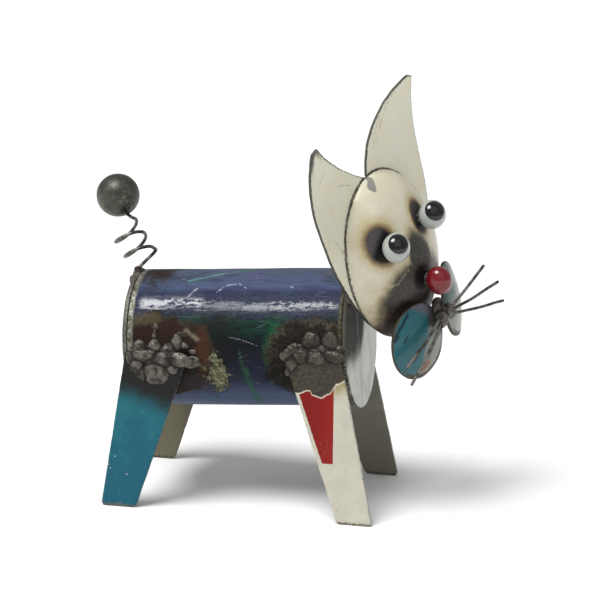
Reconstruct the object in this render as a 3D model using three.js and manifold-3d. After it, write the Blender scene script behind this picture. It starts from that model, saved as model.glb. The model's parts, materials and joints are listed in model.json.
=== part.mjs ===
// Scrap metal cat statuette: a painted pipe body on four sheet legs, with a
// two-eared sheet head, ball eyes and nose, wire whiskers and a spring tail.
// Millimetres, +Z up, +X towards the head, +Y to the cat's left.
import * as THREE from "three";
import { mergeVertices } from "three/addons/utils/BufferGeometryUtils.js";
import Module from "manifold-3d";

const wasm = await Module();
wasm.setup();

const degrees = Math.PI / 180;

// Clearance kept between neighbouring pieces, which welds bridge on the real cat
const gap = 0.3;

// Body pipe and its two end discs
const tubeRadius = 25;
const tubeWall = 1.5;
const tubeLength = 79.4;
const tubeCentreHeight = 59.1;
const tubePitch = 3.65 * degrees;
const rearDiscRadius = tubeRadius;
const rearDiscThickness = 1.6;
const frontDiscOverhang = 0.8;
const frontDiscRadius = tubeRadius + frontDiscOverhang;
const frontDiscThickness = 1.4;

// Sheet legs: each stands flat on its foot and leans in to touch the pipe,
// and each foot's middle stands out beyond the pipe's end
const legThickness = 1.5;
const legLean = 3 * degrees;
const footChamfer = 1.1;
const rearLegHeight = 57.5;
const rearFootWidth = 13;
const rearTopWidth = 23.5;
const rearTopShift = 14.5;
const rearRightFootBeyond = 3.1;
const rearLeftFootBeyond = 5.5;
const frontLegHeight = 62;
const frontFootWidth = 12.8;
const frontTopWidth = 20.9;
const frontTopShift = -16.7;
const frontRightFootBeyond = 5.7;
const frontLeftFootBeyond = 3.4;

// Head: turned to the cat's right, nose up a little and tipped sideways
const headYaw = -24 * degrees;
const headPitch = 4.2 * degrees;
const headRoll = 20.5 * degrees;
// The face centre stands in front of the pipe's front end and above its top
const headBeyond = 11.7;
const headAboveTop = 6.47;

// Ear plate outline, as half widths at heights measured from the face centre
const plateThickness = 1;
const chinDrop = 32.6;
const chinHalfWidth = 7;
const jawHalfWidth = 21;
const jawDrop = 16.7;
const cheekHalfWidth = 29.6;
const cheekRise = 6.6;
const plateHalfWidth = 32;
const plateWidestRise = 25.4;
const earNotchRise = 31;

// The two ears are cut by hand and differ: outer edge, tip, inner edge and bend
const leftEar = {
  side: 1,
  outerEdge: [33.4, 39],
  tipOuter: [35.2, 53.4],
  tipInner: [32.8, 54.9],
  innerPull: [6, 55.2],
  bend: 4,
};
const rightEar = {
  side: -1,
  outerEdge: [32, 40],
  tipOuter: [32.4, 58.6],
  tipInner: [30, 59.4],
  innerPull: [14, 41],
  bend: 8,
};
const earBendStart = 30;

// Face dome, a pressed oval shell with a slight muzzle
const faceHalfWidth = 25;
const faceHalfHeight = 31.8;
const faceDepth = 12.4;
const faceRoundness = 0.6;
const faceWall = 1;
const muzzleRise = 3;
const muzzleDrop = 12;
const muzzleSpreadAcross = 9;
const muzzleSpreadUp = 11;

// Balls for the eyes and the nose, half sizes along the face normal and across
const eyeDepth = 4.7;
const eyeRadius = 5.3;
const eyeSpacing = 20.5;
const eyeOffset = -1.2;
const eyeRise = 10.4;
const noseDepth = 4.6;
const noseHalfWidth = 4.6;
const noseHalfHeight = 5.3;
const noseOffset = -0.5;
const noseDrop = 8.9;

// Cheek discs, two shallow dishes hung under the nose on either side
const cheekRadius = 13.8;
const cheekDish = 2.4;
const cheekWall = 1;
const cheekRightPlace = [12, -12.6, -28];
const cheekLeftPlace = [10.6, 13.8, -26.4];
const cheekRightTurn = -6 * degrees;
const cheekLeftTurn = 25 * degrees;

// Whiskers, three wires a side out of one weld under the nose
const whiskerRadius = 0.5;
const whiskerRootForward = 17.6;
const whiskerRootDrop = 24.3;
const whiskerRootHalfSpacing = 3.2;
const whiskerRootPitch = 1.3;
const whiskerBow = 1.2;
const leftWhiskerTips = [[20, 24.8, -18.2], [20, 30.5, -28.6], [20, 30.6, -36.9]];
const rightWhiskerTips = [[17.5, -28.6, -28.2], [21, -28.2, -30.8], [20, -32.1, -33.2]];

// Tail: a steel ball on a spring wire
const ballRadius = 8;
const tailWireRadius = 0.62;
const coilRadius = 5.4;
const coilTurns = 2;
const coilStepsPerTurn = 12;

// Bare metal colours
const weldColour = 0x6d6a62;
const steelColour = 0x8c8c88;

// Axis height of the tilted pipe above the ground at a place along the cat
function axisHeightAt(x) {
  return tubeCentreHeight + Math.tan(tubePitch) * x;
}

// How finely round pieces are faceted
const pipeSegments = 48;
const cheekSegments = 24;
const tailBallSegments = [20, 14];
const faceBallSegments = [16, 10];

function paint(colour, roughness, metalness) {
  return new THREE.MeshStandardMaterial({ color: colour, roughness, metalness });
}

// One named mesh of a geometry
function piece(name, geometry, material) {
  const mesh = new THREE.Mesh(geometry, material);
  mesh.name = name;
  return mesh;
}

// A position-only copy with its shared corners merged
function mergedCopy(geometry) {
  const bare = geometry.clone();
  bare.deleteAttribute("normal");
  bare.deleteAttribute("uv");
  return mergeVertices(bare, 1e-4);
}

function toSolid(geometry) {
  const merged = mergedCopy(geometry);
  return new wasm.Manifold(new wasm.Mesh({
    numProp: 3,
    vertProperties: new Float32Array(merged.attributes.position.array),
    triVerts: new Uint32Array(merged.index.array),
  }));
}

function fromSolid(solid) {
  const data = solid.getMesh();
  const geometry = new THREE.BufferGeometry();
  geometry.setAttribute("position", new THREE.BufferAttribute(data.vertProperties, 3));
  geometry.setIndex(new THREE.BufferAttribute(data.triVerts, 1));
  geometry.computeVertexNormals();
  return geometry;
}

// A shape spun about Z, laid so that its axis runs along X
function spunAlongX(profile, segments) {
  const geometry = new THREE.LatheGeometry(profile, segments);
  geometry.rotateZ(-Math.PI / 2);
  return geometry;
}

function discAlongX(radius, thickness) {
  const geometry = new THREE.CylinderGeometry(radius, radius, thickness, pipeSegments);
  geometry.rotateZ(-Math.PI / 2);
  return geometry;
}

// Places geometry of the body group in the cat's own frame
const bodyMatrix = new THREE.Matrix4()
  .makeTranslation(0, 0, tubeCentreHeight)
  .multiply(new THREE.Matrix4().makeRotationY(-tubePitch));

// Body pipe: an open ring section, closed by the discs beyond a clearance
function tubeGeometry() {
  const half = tubeLength / 2;
  const profile = [
    new THREE.Vector2(tubeRadius - tubeWall, -half),
    new THREE.Vector2(tubeRadius, -half),
    new THREE.Vector2(tubeRadius, half),
    new THREE.Vector2(tubeRadius - tubeWall, half),
    new THREE.Vector2(tubeRadius - tubeWall, -half),
  ];
  return spunAlongX(profile, pipeSegments);
}

const rearDiscX = -(tubeLength / 2 + gap + rearDiscThickness / 2);
const frontDiscX = tubeLength / 2 + gap + frontDiscThickness / 2;

function buildBody() {
  const body = new THREE.Group();
  body.add(piece("body_tube", tubeGeometry(), paint(0x232c55, 0.3, 0.2)));
  const rear = discAlongX(rearDiscRadius, rearDiscThickness);
  rear.translate(rearDiscX, 0, 0);
  body.add(piece("rear_end_disc", rear, paint(0x9a9a94, 0.5, 0.8)));
  const front = discAlongX(frontDiscRadius, frontDiscThickness);
  front.translate(frontDiscX, 0, 0);
  body.add(piece("front_end_disc", front, paint(0xb4b5af, 0.4, 0.8)));
  body.applyMatrix4(bodyMatrix);
  return body;
}

// Pipe and discs as one solid, grown by a clearance, for cutting welds
function bodyCutter(growth) {
  const reach = 2 * frontDiscX;
  const pipe = discAlongX(tubeRadius + growth, reach);
  pipe.applyMatrix4(bodyMatrix);
  const front = discAlongX(frontDiscRadius + growth, frontDiscThickness + 2 * growth);
  front.translate(frontDiscX, 0, 0);
  front.applyMatrix4(bodyMatrix);
  const rear = discAlongX(rearDiscRadius + growth, rearDiscThickness + 2 * growth);
  rear.translate(rearDiscX, 0, 0);
  rear.applyMatrix4(bodyMatrix);
  return toSolid(pipe).add(toSolid(front)).add(toSolid(rear));
}

// Beads across a leg's top edge: along the leg, above its top edge, and size
const beadStandOff = 1.6;
const beadProud = 2.8;
const rearBeads = [
  { along: -7.6, rise: 1.2, radius: 3 },
  { along: -2.4, rise: 1.6, radius: 3.4 },
  { along: 3.6, rise: 2.2, radius: 4.6 },
  { along: 9.6, rise: -3.2, radius: 3.4 },
  { along: -8.4, rise: -3.9, radius: 3.6 },
  { along: -1.6, rise: -5.4, radius: 5 },
  { along: 4.8, rise: -3.6, radius: 3.6 },
];
const frontBeads = [
  { along: -7.4, rise: -3.9, radius: 3.5 },
  { along: -3.8, rise: -0.4, radius: 3.6 },
  { along: 0.6, rise: 3.2, radius: 4.2 },
  { along: 5.8, rise: 3.2, radius: 4.2 },
];

// A leg's sizes: how it tapers and slants, and the beads of its weld
const rearLeg = {
  height: rearLegHeight,
  footWidth: rearFootWidth,
  topWidth: rearTopWidth,
  topShift: rearTopShift,
  beads: rearBeads,
};
const frontLeg = {
  height: frontLegHeight,
  footWidth: frontFootWidth,
  topWidth: frontTopWidth,
  topShift: frontTopShift,
  beads: frontBeads,
};

// A foot's place along the cat; end is -1 at the rear and 1 at the front
function footPlace(end, beyond) {
  return end * (tubeLength / 2 + beyond);
}

// The four legs; side is -1 on the cat's right and 1 on its left
const legs = [
  { ...rearLeg, name: "rear_right_leg", side: -1, colour: 0x256a80, footX: footPlace(-1, rearRightFootBeyond) },
  { ...frontLeg, name: "front_right_leg", side: -1, colour: 0xcfcdbf, footX: footPlace(1, frontRightFootBeyond) },
  { ...rearLeg, name: "rear_left_leg", side: 1, colour: 0x7d7a66, footX: footPlace(-1, rearLeftFootBeyond) },
  { ...frontLeg, name: "front_left_leg", side: 1, colour: 0x6a695f, footX: footPlace(1, frontLeftFootBeyond) },
];

// Where a leg's inner face meets the ground, so that its plane clears the pipe
function footInnerY(leg) {
  const contactX = leg.footX + leg.topShift;
  const touchY = (tubeRadius + gap) / Math.cos(legLean);
  return touchY + Math.tan(legLean) * axisHeightAt(contactX);
}

// Tapered sheet with clipped foot corners, sheared so that it leans inwards;
// growth widens it all round and inward thickens it towards the pipe
function legGeometry(leg, growth, inward) {
  const foot = leg.footWidth / 2 + growth;
  const top = leg.topWidth / 2 + growth;
  const leftSlope = (leg.topShift - top + foot) / leg.height;
  const rightSlope = (leg.topShift + top - foot) / leg.height;
  const outline = new THREE.Shape();
  outline.moveTo(-foot + footChamfer, 0);
  outline.lineTo(foot - footChamfer, 0);
  outline.lineTo(foot + rightSlope * footChamfer, footChamfer);
  outline.lineTo(leg.topShift + top, leg.height + growth);
  outline.lineTo(leg.topShift - top, leg.height + growth);
  outline.lineTo(-foot + leftSlope * footChamfer, footChamfer);
  outline.closePath();
  const depth = legThickness + 2 * growth + inward;
  const geometry = new THREE.ExtrudeGeometry(outline, { depth, bevelEnabled: false });
  geometry.rotateX(Math.PI / 2);
  if (leg.side > 0) {
    geometry.translate(0, depth, 0);
  }
  const lean = new THREE.Matrix4().makeShear(0, 0, 0, 0, 0, -leg.side * Math.tan(legLean));
  geometry.applyMatrix4(lean);
  const inner = footInnerY(leg) - growth - inward;
  geometry.translate(leg.footX, leg.side * inner, 0);
  return geometry;
}

function buildLegs() {
  const group = new THREE.Group();
  for (const leg of legs) {
    group.add(piece(leg.name, legGeometry(leg, 0, 0), paint(leg.colour, 0.45, 0.3)));
  }
  return group;
}

// One bead of weld metal as a rounded lump
function beadSolid(place, radii) {
  const lump = new THREE.IcosahedronGeometry(1, 1);
  lump.scale(radii[0], radii[1], radii[2]);
  lump.translate(place[0], place[1], place[2]);
  return toSolid(lump);
}

// Joins beads into one lump and cuts away what they sit on
function weldSolid(beads, cutters) {
  let lump = beadSolid(beads[0].place, beads[0].radii);
  for (const bead of beads.slice(1)) {
    lump = lump.add(beadSolid(bead.place, bead.radii));
  }
  for (const cutter of cutters) {
    lump = lump.subtract(cutter);
  }
  return lump;
}

// The weld that holds one leg to the pipe
function legWeld(leg) {
  const topX = leg.footX + leg.topShift;
  const faceY = footInnerY(leg) - Math.tan(legLean) * leg.height + beadStandOff;
  const beads = leg.beads.map((bead) => ({
    place: [topX + bead.along, leg.side * faceY, leg.height + bead.rise],
    radii: [bead.radius, beadProud, bead.radius],
  }));
  const sheetCutter = toSolid(legGeometry(leg, gap, tubeRadius));
  return fromSolid(weldSolid(beads, [bodyCutter(gap), sheetCutter]));
}

function buildLegWelds() {
  const group = new THREE.Group();
  for (const leg of legs) {
    const name = leg.name.replace("leg", "weld");
    group.add(piece(name, legWeld(leg), paint(weldColour, 0.5, 0.8)));
  }
  return group;
}

// Head frame: X is the face normal, Y runs to the left ear and Z up the face
const headMatrix = new THREE.Matrix4().makeRotationFromEuler(
  new THREE.Euler(headRoll, -headPitch, headYaw, "ZYX"),
);
headMatrix.setPosition(
  tubeLength / 2 + headBeyond,
  0,
  axisHeightAt(tubeLength / 2) + tubeRadius + headAboveTop,
);

// A sheet of even thickness over cells of flat points, bent by a depth rule
function sheetGeometry(points, cells, depth, thickness) {
  const count = points.length;
  const positions = [];
  for (const side of [1, -1]) {
    for (const [across, up] of points) {
      positions.push(depth(across, up) + side * thickness / 2, across, up);
    }
  }
  const faces = [];
  const edges = new Map();
  for (const [a, b, c] of cells) {
    faces.push(a, b, c, a + count, c + count, b + count);
    for (const [from, to] of [[a, b], [b, c], [c, a]]) {
      edges.set(`${from},${to}`, [from, to]);
    }
  }
  for (const [from, to] of edges.values()) {
    if (!edges.has(`${to},${from}`)) {
      faces.push(to, from, from + count, to, from + count, to + count);
    }
  }
  const geometry = new THREE.BufferGeometry();
  geometry.setAttribute("position", new THREE.Float32BufferAttribute(positions, 3));
  geometry.setIndex(faces);
  geometry.computeVertexNormals();
  return geometry;
}

// How far the ears lean forward, growing towards their tips
function earLean(across, up) {
  const ear = across > 0 ? leftEar : rightEar;
  const rise = Math.max(0, up - earBendStart) / (ear.tipInner[1] - earBendStart);
  return ear.bend * rise * rise;
}

// Outer edge of one half of the plate, from the chin to the ear tip
function outerEdge(ear) {
  return new THREE.SplineCurve([
    new THREE.Vector2(chinHalfWidth, -chinDrop + 0.5),
    new THREE.Vector2(jawHalfWidth, -jawDrop),
    new THREE.Vector2(cheekHalfWidth, cheekRise),
    new THREE.Vector2(plateHalfWidth, plateWidestRise),
    new THREE.Vector2(...ear.outerEdge),
    new THREE.Vector2(...ear.tipOuter),
  ]);
}

// Inner edge of an ear, from the notch to its tip
function innerEdge(ear) {
  return new THREE.QuadraticBezierCurve(
    new THREE.Vector2(0, earNotchRise),
    new THREE.Vector2(...ear.innerPull),
    new THREE.Vector2(...ear.tipInner),
  );
}

// Ear plate: both halves run from the chin to an ear tip, sharing the middle
function earPlateGeometry() {
  const rows = 18;
  const columns = 4;
  const middleRows = 11;
  const points = [];
  const index = new Map();
  const cells = [];
  const keep = (across, up) => {
    const key = `${across.toFixed(4)},${up.toFixed(4)}`;
    if (!index.has(key)) {
      index.set(key, points.length);
      points.push([across, up]);
    }
    return index.get(key);
  };
  for (const ear of [leftEar, rightEar]) {
    const outer = outerEdge(ear);
    const inner = innerEdge(ear);
    const grid = [];
    for (let row = 0; row <= rows; row += 1) {
      const edge = outer.getPoint(row / rows);
      let centre = new THREE.Vector2(0, -chinDrop + (chinDrop + earNotchRise) * row / middleRows);
      if (row > middleRows) {
        centre = inner.getPoint((row - middleRows) / (rows - middleRows));
      }
      const line = [];
      for (let column = 0; column <= columns; column += 1) {
        const place = centre.clone().lerp(edge, column / columns);
        line.push(keep(ear.side * place.x + 0, place.y));
      }
      grid.push(line);
    }
    for (let row = 0; row < rows; row += 1) {
      for (let column = 0; column < columns; column += 1) {
        const a = grid[row][column];
        const b = grid[row][column + 1];
        const c = grid[row + 1][column + 1];
        const d = grid[row + 1][column];
        if (ear.side > 0) {
          cells.push([a, b, c], [a, c, d]);
        } else {
          cells.push([a, c, b], [a, d, c]);
        }
      }
    }
  }
  const plate = sheetGeometry(points, cells, earLean, plateThickness);
  plate.translate(-gap - plateThickness / 2, 0, 0);
  return plate;
}

// Height of the face dome above its rim at a place on the face
function faceRise(across, up, halfWidth, halfHeight, depth) {
  const reach = Math.min(1, (across / halfWidth) ** 2 + (up / halfHeight) ** 2);
  const swell = Math.exp(-((across / muzzleSpreadAcross) ** 2)
    - ((up + muzzleDrop) / muzzleSpreadUp) ** 2);
  return depth * (1 - reach) ** faceRoundness + muzzleRise * swell * (1 - reach);
}

function faceSurface(across, up) {
  return faceRise(across, up, faceHalfWidth, faceHalfHeight, faceDepth);
}

// Face dome: an outer and an inner oval skin joined by a flat rim
function faceGeometry() {
  const rings = 7;
  const spokes = 32;
  const positions = [];
  const skins = [
    [faceHalfWidth, faceHalfHeight, faceDepth],
    [faceHalfWidth - faceWall, faceHalfHeight - faceWall, faceDepth - faceWall],
  ];
  for (const [halfWidth, halfHeight, depth] of skins) {
    positions.push(faceRise(0, 0, halfWidth, halfHeight, depth), 0, 0);
    for (let ring = 1; ring <= rings; ring += 1) {
      const reach = Math.sin((ring / rings) * Math.PI / 2);
      for (let spoke = 0; spoke < spokes; spoke += 1) {
        const angle = (spoke / spokes) * 2 * Math.PI;
        const across = halfWidth * reach * Math.cos(angle);
        const up = halfHeight * reach * Math.sin(angle);
        positions.push(faceRise(across, up, halfWidth, halfHeight, depth), across, up);
      }
    }
  }
  const skinSize = 1 + rings * spokes;
  const at = (skin, ring, spoke) => skin * skinSize + 1 + (ring - 1) * spokes + (spoke % spokes);
  const faces = [];
  for (let spoke = 0; spoke < spokes; spoke += 1) {
    const next = spoke + 1;
    faces.push(0, at(0, 1, spoke), at(0, 1, next));
    faces.push(skinSize, at(1, 1, next), at(1, 1, spoke));
    for (let ring = 1; ring < rings; ring += 1) {
      faces.push(at(0, ring, spoke), at(0, ring + 1, spoke), at(0, ring + 1, next));
      faces.push(at(0, ring, spoke), at(0, ring + 1, next), at(0, ring, next));
      faces.push(at(1, ring, spoke), at(1, ring + 1, next), at(1, ring + 1, spoke));
      faces.push(at(1, ring, spoke), at(1, ring, next), at(1, ring + 1, next));
    }
    faces.push(at(0, rings, spoke), at(1, rings, spoke), at(1, rings, next));
    faces.push(at(0, rings, spoke), at(1, rings, next), at(0, rings, next));
  }
  const geometry = new THREE.BufferGeometry();
  geometry.setAttribute("position", new THREE.Float32BufferAttribute(positions, 3));
  geometry.setIndex(faces);
  geometry.computeVertexNormals();
  return geometry;
}

// Outward normal of the face dome, from its slopes
function faceNormal(across, up) {
  const step = 0.05;
  const slopeAcross = (faceSurface(across + step, up) - faceSurface(across - step, up)) / (2 * step);
  const slopeUp = (faceSurface(across, up + step) - faceSurface(across, up - step)) / (2 * step);
  return new THREE.Vector3(1, -slopeAcross, -slopeUp).normalize();
}

// Centre of a ball that rests on the face dome with the usual clearance
function restingPlace(across, up, radii) {
  const normal = faceNormal(across, up);
  const scaled = new THREE.Vector3(radii[0] * normal.x, radii[1] * normal.y, radii[2] * normal.z);
  const place = new THREE.Vector3(faceSurface(across, up), across, up);
  return place.addScaledVector(normal, scaled.length() + gap);
}

function ballOnFace(name, across, up, radii, material) {
  const geometry = new THREE.SphereGeometry(1, ...faceBallSegments);
  geometry.scale(radii[0], radii[1], radii[2]);
  const place = restingPlace(across, up, radii);
  geometry.translate(place.x, place.y, place.z);
  return piece(name, geometry, material);
}

// Cheek disc: a shallow dish, hollow side towards the face
function cheekGeometry(place, turn, growth) {
  const rings = 4;
  const profile = [];
  const radius = cheekRadius + growth;
  for (let ring = 0; ring <= rings; ring += 1) {
    const reach = ring / rings;
    profile.push(new THREE.Vector2(radius * reach, cheekDish * (1 - reach * reach) + growth));
  }
  for (let ring = rings; ring >= 0; ring -= 1) {
    const reach = ring / rings;
    const back = cheekDish * (1 - reach * reach) - cheekWall - growth;
    profile.push(new THREE.Vector2(radius * reach, back));
  }
  const geometry = spunAlongX(profile.reverse(), cheekSegments);
  geometry.rotateZ(turn);
  geometry.translate(place[0], place[1], place[2]);
  return geometry;
}

// A bowed whisker wire from its root to its tip
function whiskerGeometry(root, tip, radius) {
  const start = new THREE.Vector3(...root);
  const end = new THREE.Vector3(...tip);
  const middle = start.clone().lerp(end, 0.5);
  middle.x += whiskerBow;
  const path = new THREE.QuadraticBezierCurve3(start, middle, end);
  const section = new THREE.Shape();
  section.absarc(0, 0, radius, 0, 2 * Math.PI, false);
  const wire = { steps: 4, extrudePath: path, bevelEnabled: false, curveSegments: 4 };
  return new THREE.ExtrudeGeometry(section, wire);
}

const whiskers = [];
for (const [sideName, side, tips] of [["left", 1, leftWhiskerTips], ["right", -1, rightWhiskerTips]]) {
  tips.forEach((tip, place) => {
    const drop = whiskerRootDrop + (place - 1) * whiskerRootPitch;
    const root = [whiskerRootForward, side * whiskerRootHalfSpacing, -drop];
    whiskers.push({ name: `${sideName}_whisker_${place + 1}`, root, tip });
  });
}

// Weld under the nose that gathers the whiskers and both cheek discs, its
// beads set back, aside and down from the whiskers' roots
const whiskerBeads = [
  { back: 0.4, side: -2.6, down: 0.1, radii: [2.6, 2.8, 3.4] },
  { back: 0.4, side: 2.6, down: -0.1, radii: [2.6, 2.8, 3.4] },
  { back: 3, side: 0.4, down: -2.3, radii: [3.2, 3.2, 4] },
];

function whiskerWeldGeometry() {
  const cutters = [
    toSolid(cheekGeometry(cheekRightPlace, cheekRightTurn, gap)),
    toSolid(cheekGeometry(cheekLeftPlace, cheekLeftTurn, gap)),
  ];
  for (const whisker of whiskers) {
    cutters.push(toSolid(whiskerGeometry(whisker.root, whisker.tip, whiskerRadius + gap)));
  }
  const beads = whiskerBeads.map(({ back, side, down, radii }) => ({
    place: [whiskerRootForward - back, side, -whiskerRootDrop - down],
    radii,
  }));
  return fromSolid(weldSolid(beads, cutters));
}

// Weld between the pipe's front rim and the back of the ear plate, as angles
// from the top of the rim towards the cat's right
const neckBeadAngles = [14, 28, 42];
const neckBeadRadii = [5.2, 4.6, 3.8];
const neckBeadForward = 1.6;

function neckWeldGeometry() {
  const beads = neckBeadAngles.map((angle, place) => {
    const turn = angle * degrees;
    const spot = new THREE.Vector3(
      frontDiscX + neckBeadForward,
      -tubeRadius * Math.sin(turn),
      tubeRadius * Math.cos(turn),
    );
    spot.applyMatrix4(bodyMatrix);
    const size = neckBeadRadii[place];
    return { place: spot.toArray(), radii: [size, size, size] };
  });
  const reach = 2 * plateHalfWidth;
  const plateBack = new THREE.BoxGeometry(reach, 3 * reach, 3 * reach);
  plateBack.translate(reach / 2 - 2 * gap - plateThickness, 0, 0);
  plateBack.applyMatrix4(headMatrix);
  return fromSolid(weldSolid(beads, [bodyCutter(gap), toSolid(plateBack)]));
}

function buildHead() {
  const head = new THREE.Group();
  const cream = paint(0xd8d6c4, 0.4, 0.2);
  const white = paint(0xd5dcd8, 0.15, 0);
  const teal = paint(0x3f6f78, 0.25, 0.3);
  const steel = paint(steelColour, 0.4, 0.9);
  head.add(piece("ear_plate", earPlateGeometry(), cream));
  head.add(piece("face_dome", faceGeometry(), cream));
  const eyeRadii = [eyeDepth, eyeRadius, eyeRadius];
  head.add(ballOnFace("right_eye", eyeOffset - eyeSpacing / 2, eyeRise, eyeRadii, white));
  head.add(ballOnFace("left_eye", eyeOffset + eyeSpacing / 2, eyeRise, eyeRadii, white));
  const noseRadii = [noseDepth, noseHalfWidth, noseHalfHeight];
  head.add(ballOnFace("nose", noseOffset, -noseDrop, noseRadii, paint(0xa82030, 0.2, 0)));
  head.add(piece("right_cheek", cheekGeometry(cheekRightPlace, cheekRightTurn, 0), teal));
  head.add(piece("left_cheek", cheekGeometry(cheekLeftPlace, cheekLeftTurn, 0), teal));
  for (const whisker of whiskers) {
    const wire = whiskerGeometry(whisker.root, whisker.tip, whiskerRadius);
    head.add(piece(whisker.name, wire, steel));
  }
  head.add(piece("whisker_weld", whiskerWeldGeometry(), paint(weldColour, 0.5, 0.8)));
  head.applyMatrix4(headMatrix);
  return head;
}

// The wire's foot stands on the back of the rear disc, below the pipe's top
const tailFootInset = 3;
const tailLift = 2.8;
const tailFoot = new THREE.Vector3(
  rearDiscX - rearDiscThickness / 2 - 2 * gap - tailWireRadius,
  0,
  tubeRadius - tailFootInset,
).applyMatrix4(bodyMatrix);

// The ends of the coil's axis and the ball's centre, measured from the foot
const coilStart = new THREE.Vector3(2.45, 0.15, 8.72).add(tailFoot);
const coilEnd = new THREE.Vector3(-5.62, 3.99, 18.39).add(tailFoot);
const ballCentre = new THREE.Vector3(-8.7, 7.73, 29.52).add(tailFoot);
const ballFoot = new THREE.Vector3(0.476, -0.111, -0.872).normalize();

// The side of the axis where each turn starts
const coilSide = new THREE.Vector3(0.785, 0.328, 0.525);

// Spring wire: up from its foot, round the left-handed coil and in under the ball
function tailPath() {
  const axis = coilEnd.clone().sub(coilStart).normalize();
  const towardsRight = coilSide.clone().cross(axis).normalize();
  const towardsHead = axis.clone().cross(towardsRight);
  const points = [tailFoot.clone()];
  points.push(tailFoot.clone().add(new THREE.Vector3(0, 0, tailLift)));
  const steps = coilTurns * coilStepsPerTurn;
  for (let step = -1; step <= steps + 1; step += 1) {
    const angle = (step / coilStepsPerTurn) * 2 * Math.PI;
    const centre = coilStart.clone().lerp(coilEnd, step / steps);
    centre.addScaledVector(towardsHead, coilRadius * Math.cos(angle));
    centre.addScaledVector(towardsRight, coilRadius * Math.sin(angle));
    points.push(centre);
  }
  points.push(ballCentre.clone().addScaledVector(ballFoot, ballRadius + gap));
  return new THREE.CatmullRomCurve3(points);
}

function tailWireGeometry(radius) {
  const section = new THREE.Shape();
  section.absarc(0, 0, radius, 0, 2 * Math.PI, false);
  const wire = { steps: 72, extrudePath: tailPath(), bevelEnabled: false, curveSegments: 3 };
  return new THREE.ExtrudeGeometry(section, wire);
}

// Weld of the tail wire to the top of the rear disc
const tailBeads = [
  { place: [tailFoot.x, -0.4, tailFoot.z - 0.6], radii: [2.4, 2.6, 2.2] },
  { place: [tailFoot.x + 1.4, 0.4, tailFoot.z + 2.8], radii: [2.2, 2.4, 2.5] },
];

function buildTail() {
  const tail = new THREE.Group();
  tail.add(piece("tail_spring", tailWireGeometry(tailWireRadius), paint(steelColour, 0.4, 0.9)));
  const ball = new THREE.SphereGeometry(ballRadius, ...tailBallSegments);
  ball.translate(ballCentre.x, ballCentre.y, ballCentre.z);
  tail.add(piece("tail_ball", ball, paint(0x5d5d56, 0.3, 0.9)));
  const cutters = [bodyCutter(gap), toSolid(tailWireGeometry(tailWireRadius + gap))];
  const weld = fromSolid(weldSolid(tailBeads, cutters));
  tail.add(piece("tail_weld", weld, paint(weldColour, 0.5, 0.8)));
  return tail;
}

const cat = new THREE.Group();
cat.add(buildBody(), buildLegs(), buildLegWelds(), buildHead(), buildTail());
cat.add(piece("neck_weld", neckWeldGeometry(), paint(weldColour, 0.5, 0.8)));

// The origin is the middle of the footprint of the whole cat, on the ground
cat.updateMatrixWorld(true);
const bounds = new THREE.Box3().setFromObject(cat, true);
const centre = bounds.getCenter(new THREE.Vector3());
cat.position.set(-centre.x, -centre.y, -bounds.min.z);
cat.updateMatrixWorld(true);

export default cat;
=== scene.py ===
import json
import math
from functools import reduce

import bmesh
import bpy
from mathutils import Euler, Matrix, Vector, kdtree, noise

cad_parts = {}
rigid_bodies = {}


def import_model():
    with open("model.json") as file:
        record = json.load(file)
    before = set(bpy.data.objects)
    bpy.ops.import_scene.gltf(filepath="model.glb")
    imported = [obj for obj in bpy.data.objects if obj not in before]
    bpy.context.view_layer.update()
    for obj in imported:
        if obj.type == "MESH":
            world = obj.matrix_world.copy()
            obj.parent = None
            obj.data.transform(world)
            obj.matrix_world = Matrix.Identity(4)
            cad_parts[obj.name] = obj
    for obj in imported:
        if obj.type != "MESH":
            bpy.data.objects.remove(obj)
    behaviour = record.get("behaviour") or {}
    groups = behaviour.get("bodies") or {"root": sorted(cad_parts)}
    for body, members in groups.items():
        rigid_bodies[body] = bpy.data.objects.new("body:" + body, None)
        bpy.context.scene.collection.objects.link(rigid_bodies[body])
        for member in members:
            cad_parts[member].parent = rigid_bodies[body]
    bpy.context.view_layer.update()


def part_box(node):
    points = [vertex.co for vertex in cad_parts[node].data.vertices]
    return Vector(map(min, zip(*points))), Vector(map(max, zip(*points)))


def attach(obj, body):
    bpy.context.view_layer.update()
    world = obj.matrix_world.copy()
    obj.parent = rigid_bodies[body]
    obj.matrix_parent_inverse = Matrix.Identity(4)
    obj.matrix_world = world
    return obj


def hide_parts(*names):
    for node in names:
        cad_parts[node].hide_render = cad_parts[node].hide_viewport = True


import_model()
mm = 0.001

# Three local frames carry everything: the tilted pipe, the turned head and the standing cat
pose = {"pipePitch": 3.65, "headBeyond": 51.4, "headAbove": 34.0,
        "headYaw": -24, "headPitch": 4.2, "headRoll": 20.5}
pipeLow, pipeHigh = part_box("body_tube")
pipePlace = (pipeLow + pipeHigh) / 2
pipeTurn = Euler((0, -math.radians(pose["pipePitch"]), 0))
headPlace = pipePlace + Vector((pose["headBeyond"], 0, pose["headAbove"])) * mm
headTurn = Euler((math.radians(pose["headRoll"]), -math.radians(pose["headPitch"]), math.radians(pose["headYaw"])))
catPlace = Vector((pipePlace.x, pipePlace.y, 0))
pipeFrame = (pipePlace, pipeTurn)
headFrame = (headPlace, headTurn)
catFrame = (catPlace, Euler((0, 0, 0)))     # along the cat from the pipe's middle, across, above the ground


def link(name, data):
    made = bpy.data.objects.new(name, data)
    bpy.context.scene.collection.objects.link(made)
    return made


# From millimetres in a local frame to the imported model's own frame
def carry(localFrame):
    place, turn = localFrame
    return Matrix.Translation(place) @ turn.to_matrix().to_4x4() @ Matrix.Scale(mm, 4)


def solid(bm, name):
    mesh = bpy.data.meshes.new(name)
    bm.to_mesh(mesh)
    bm.free()
    return link(name, mesh)


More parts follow.
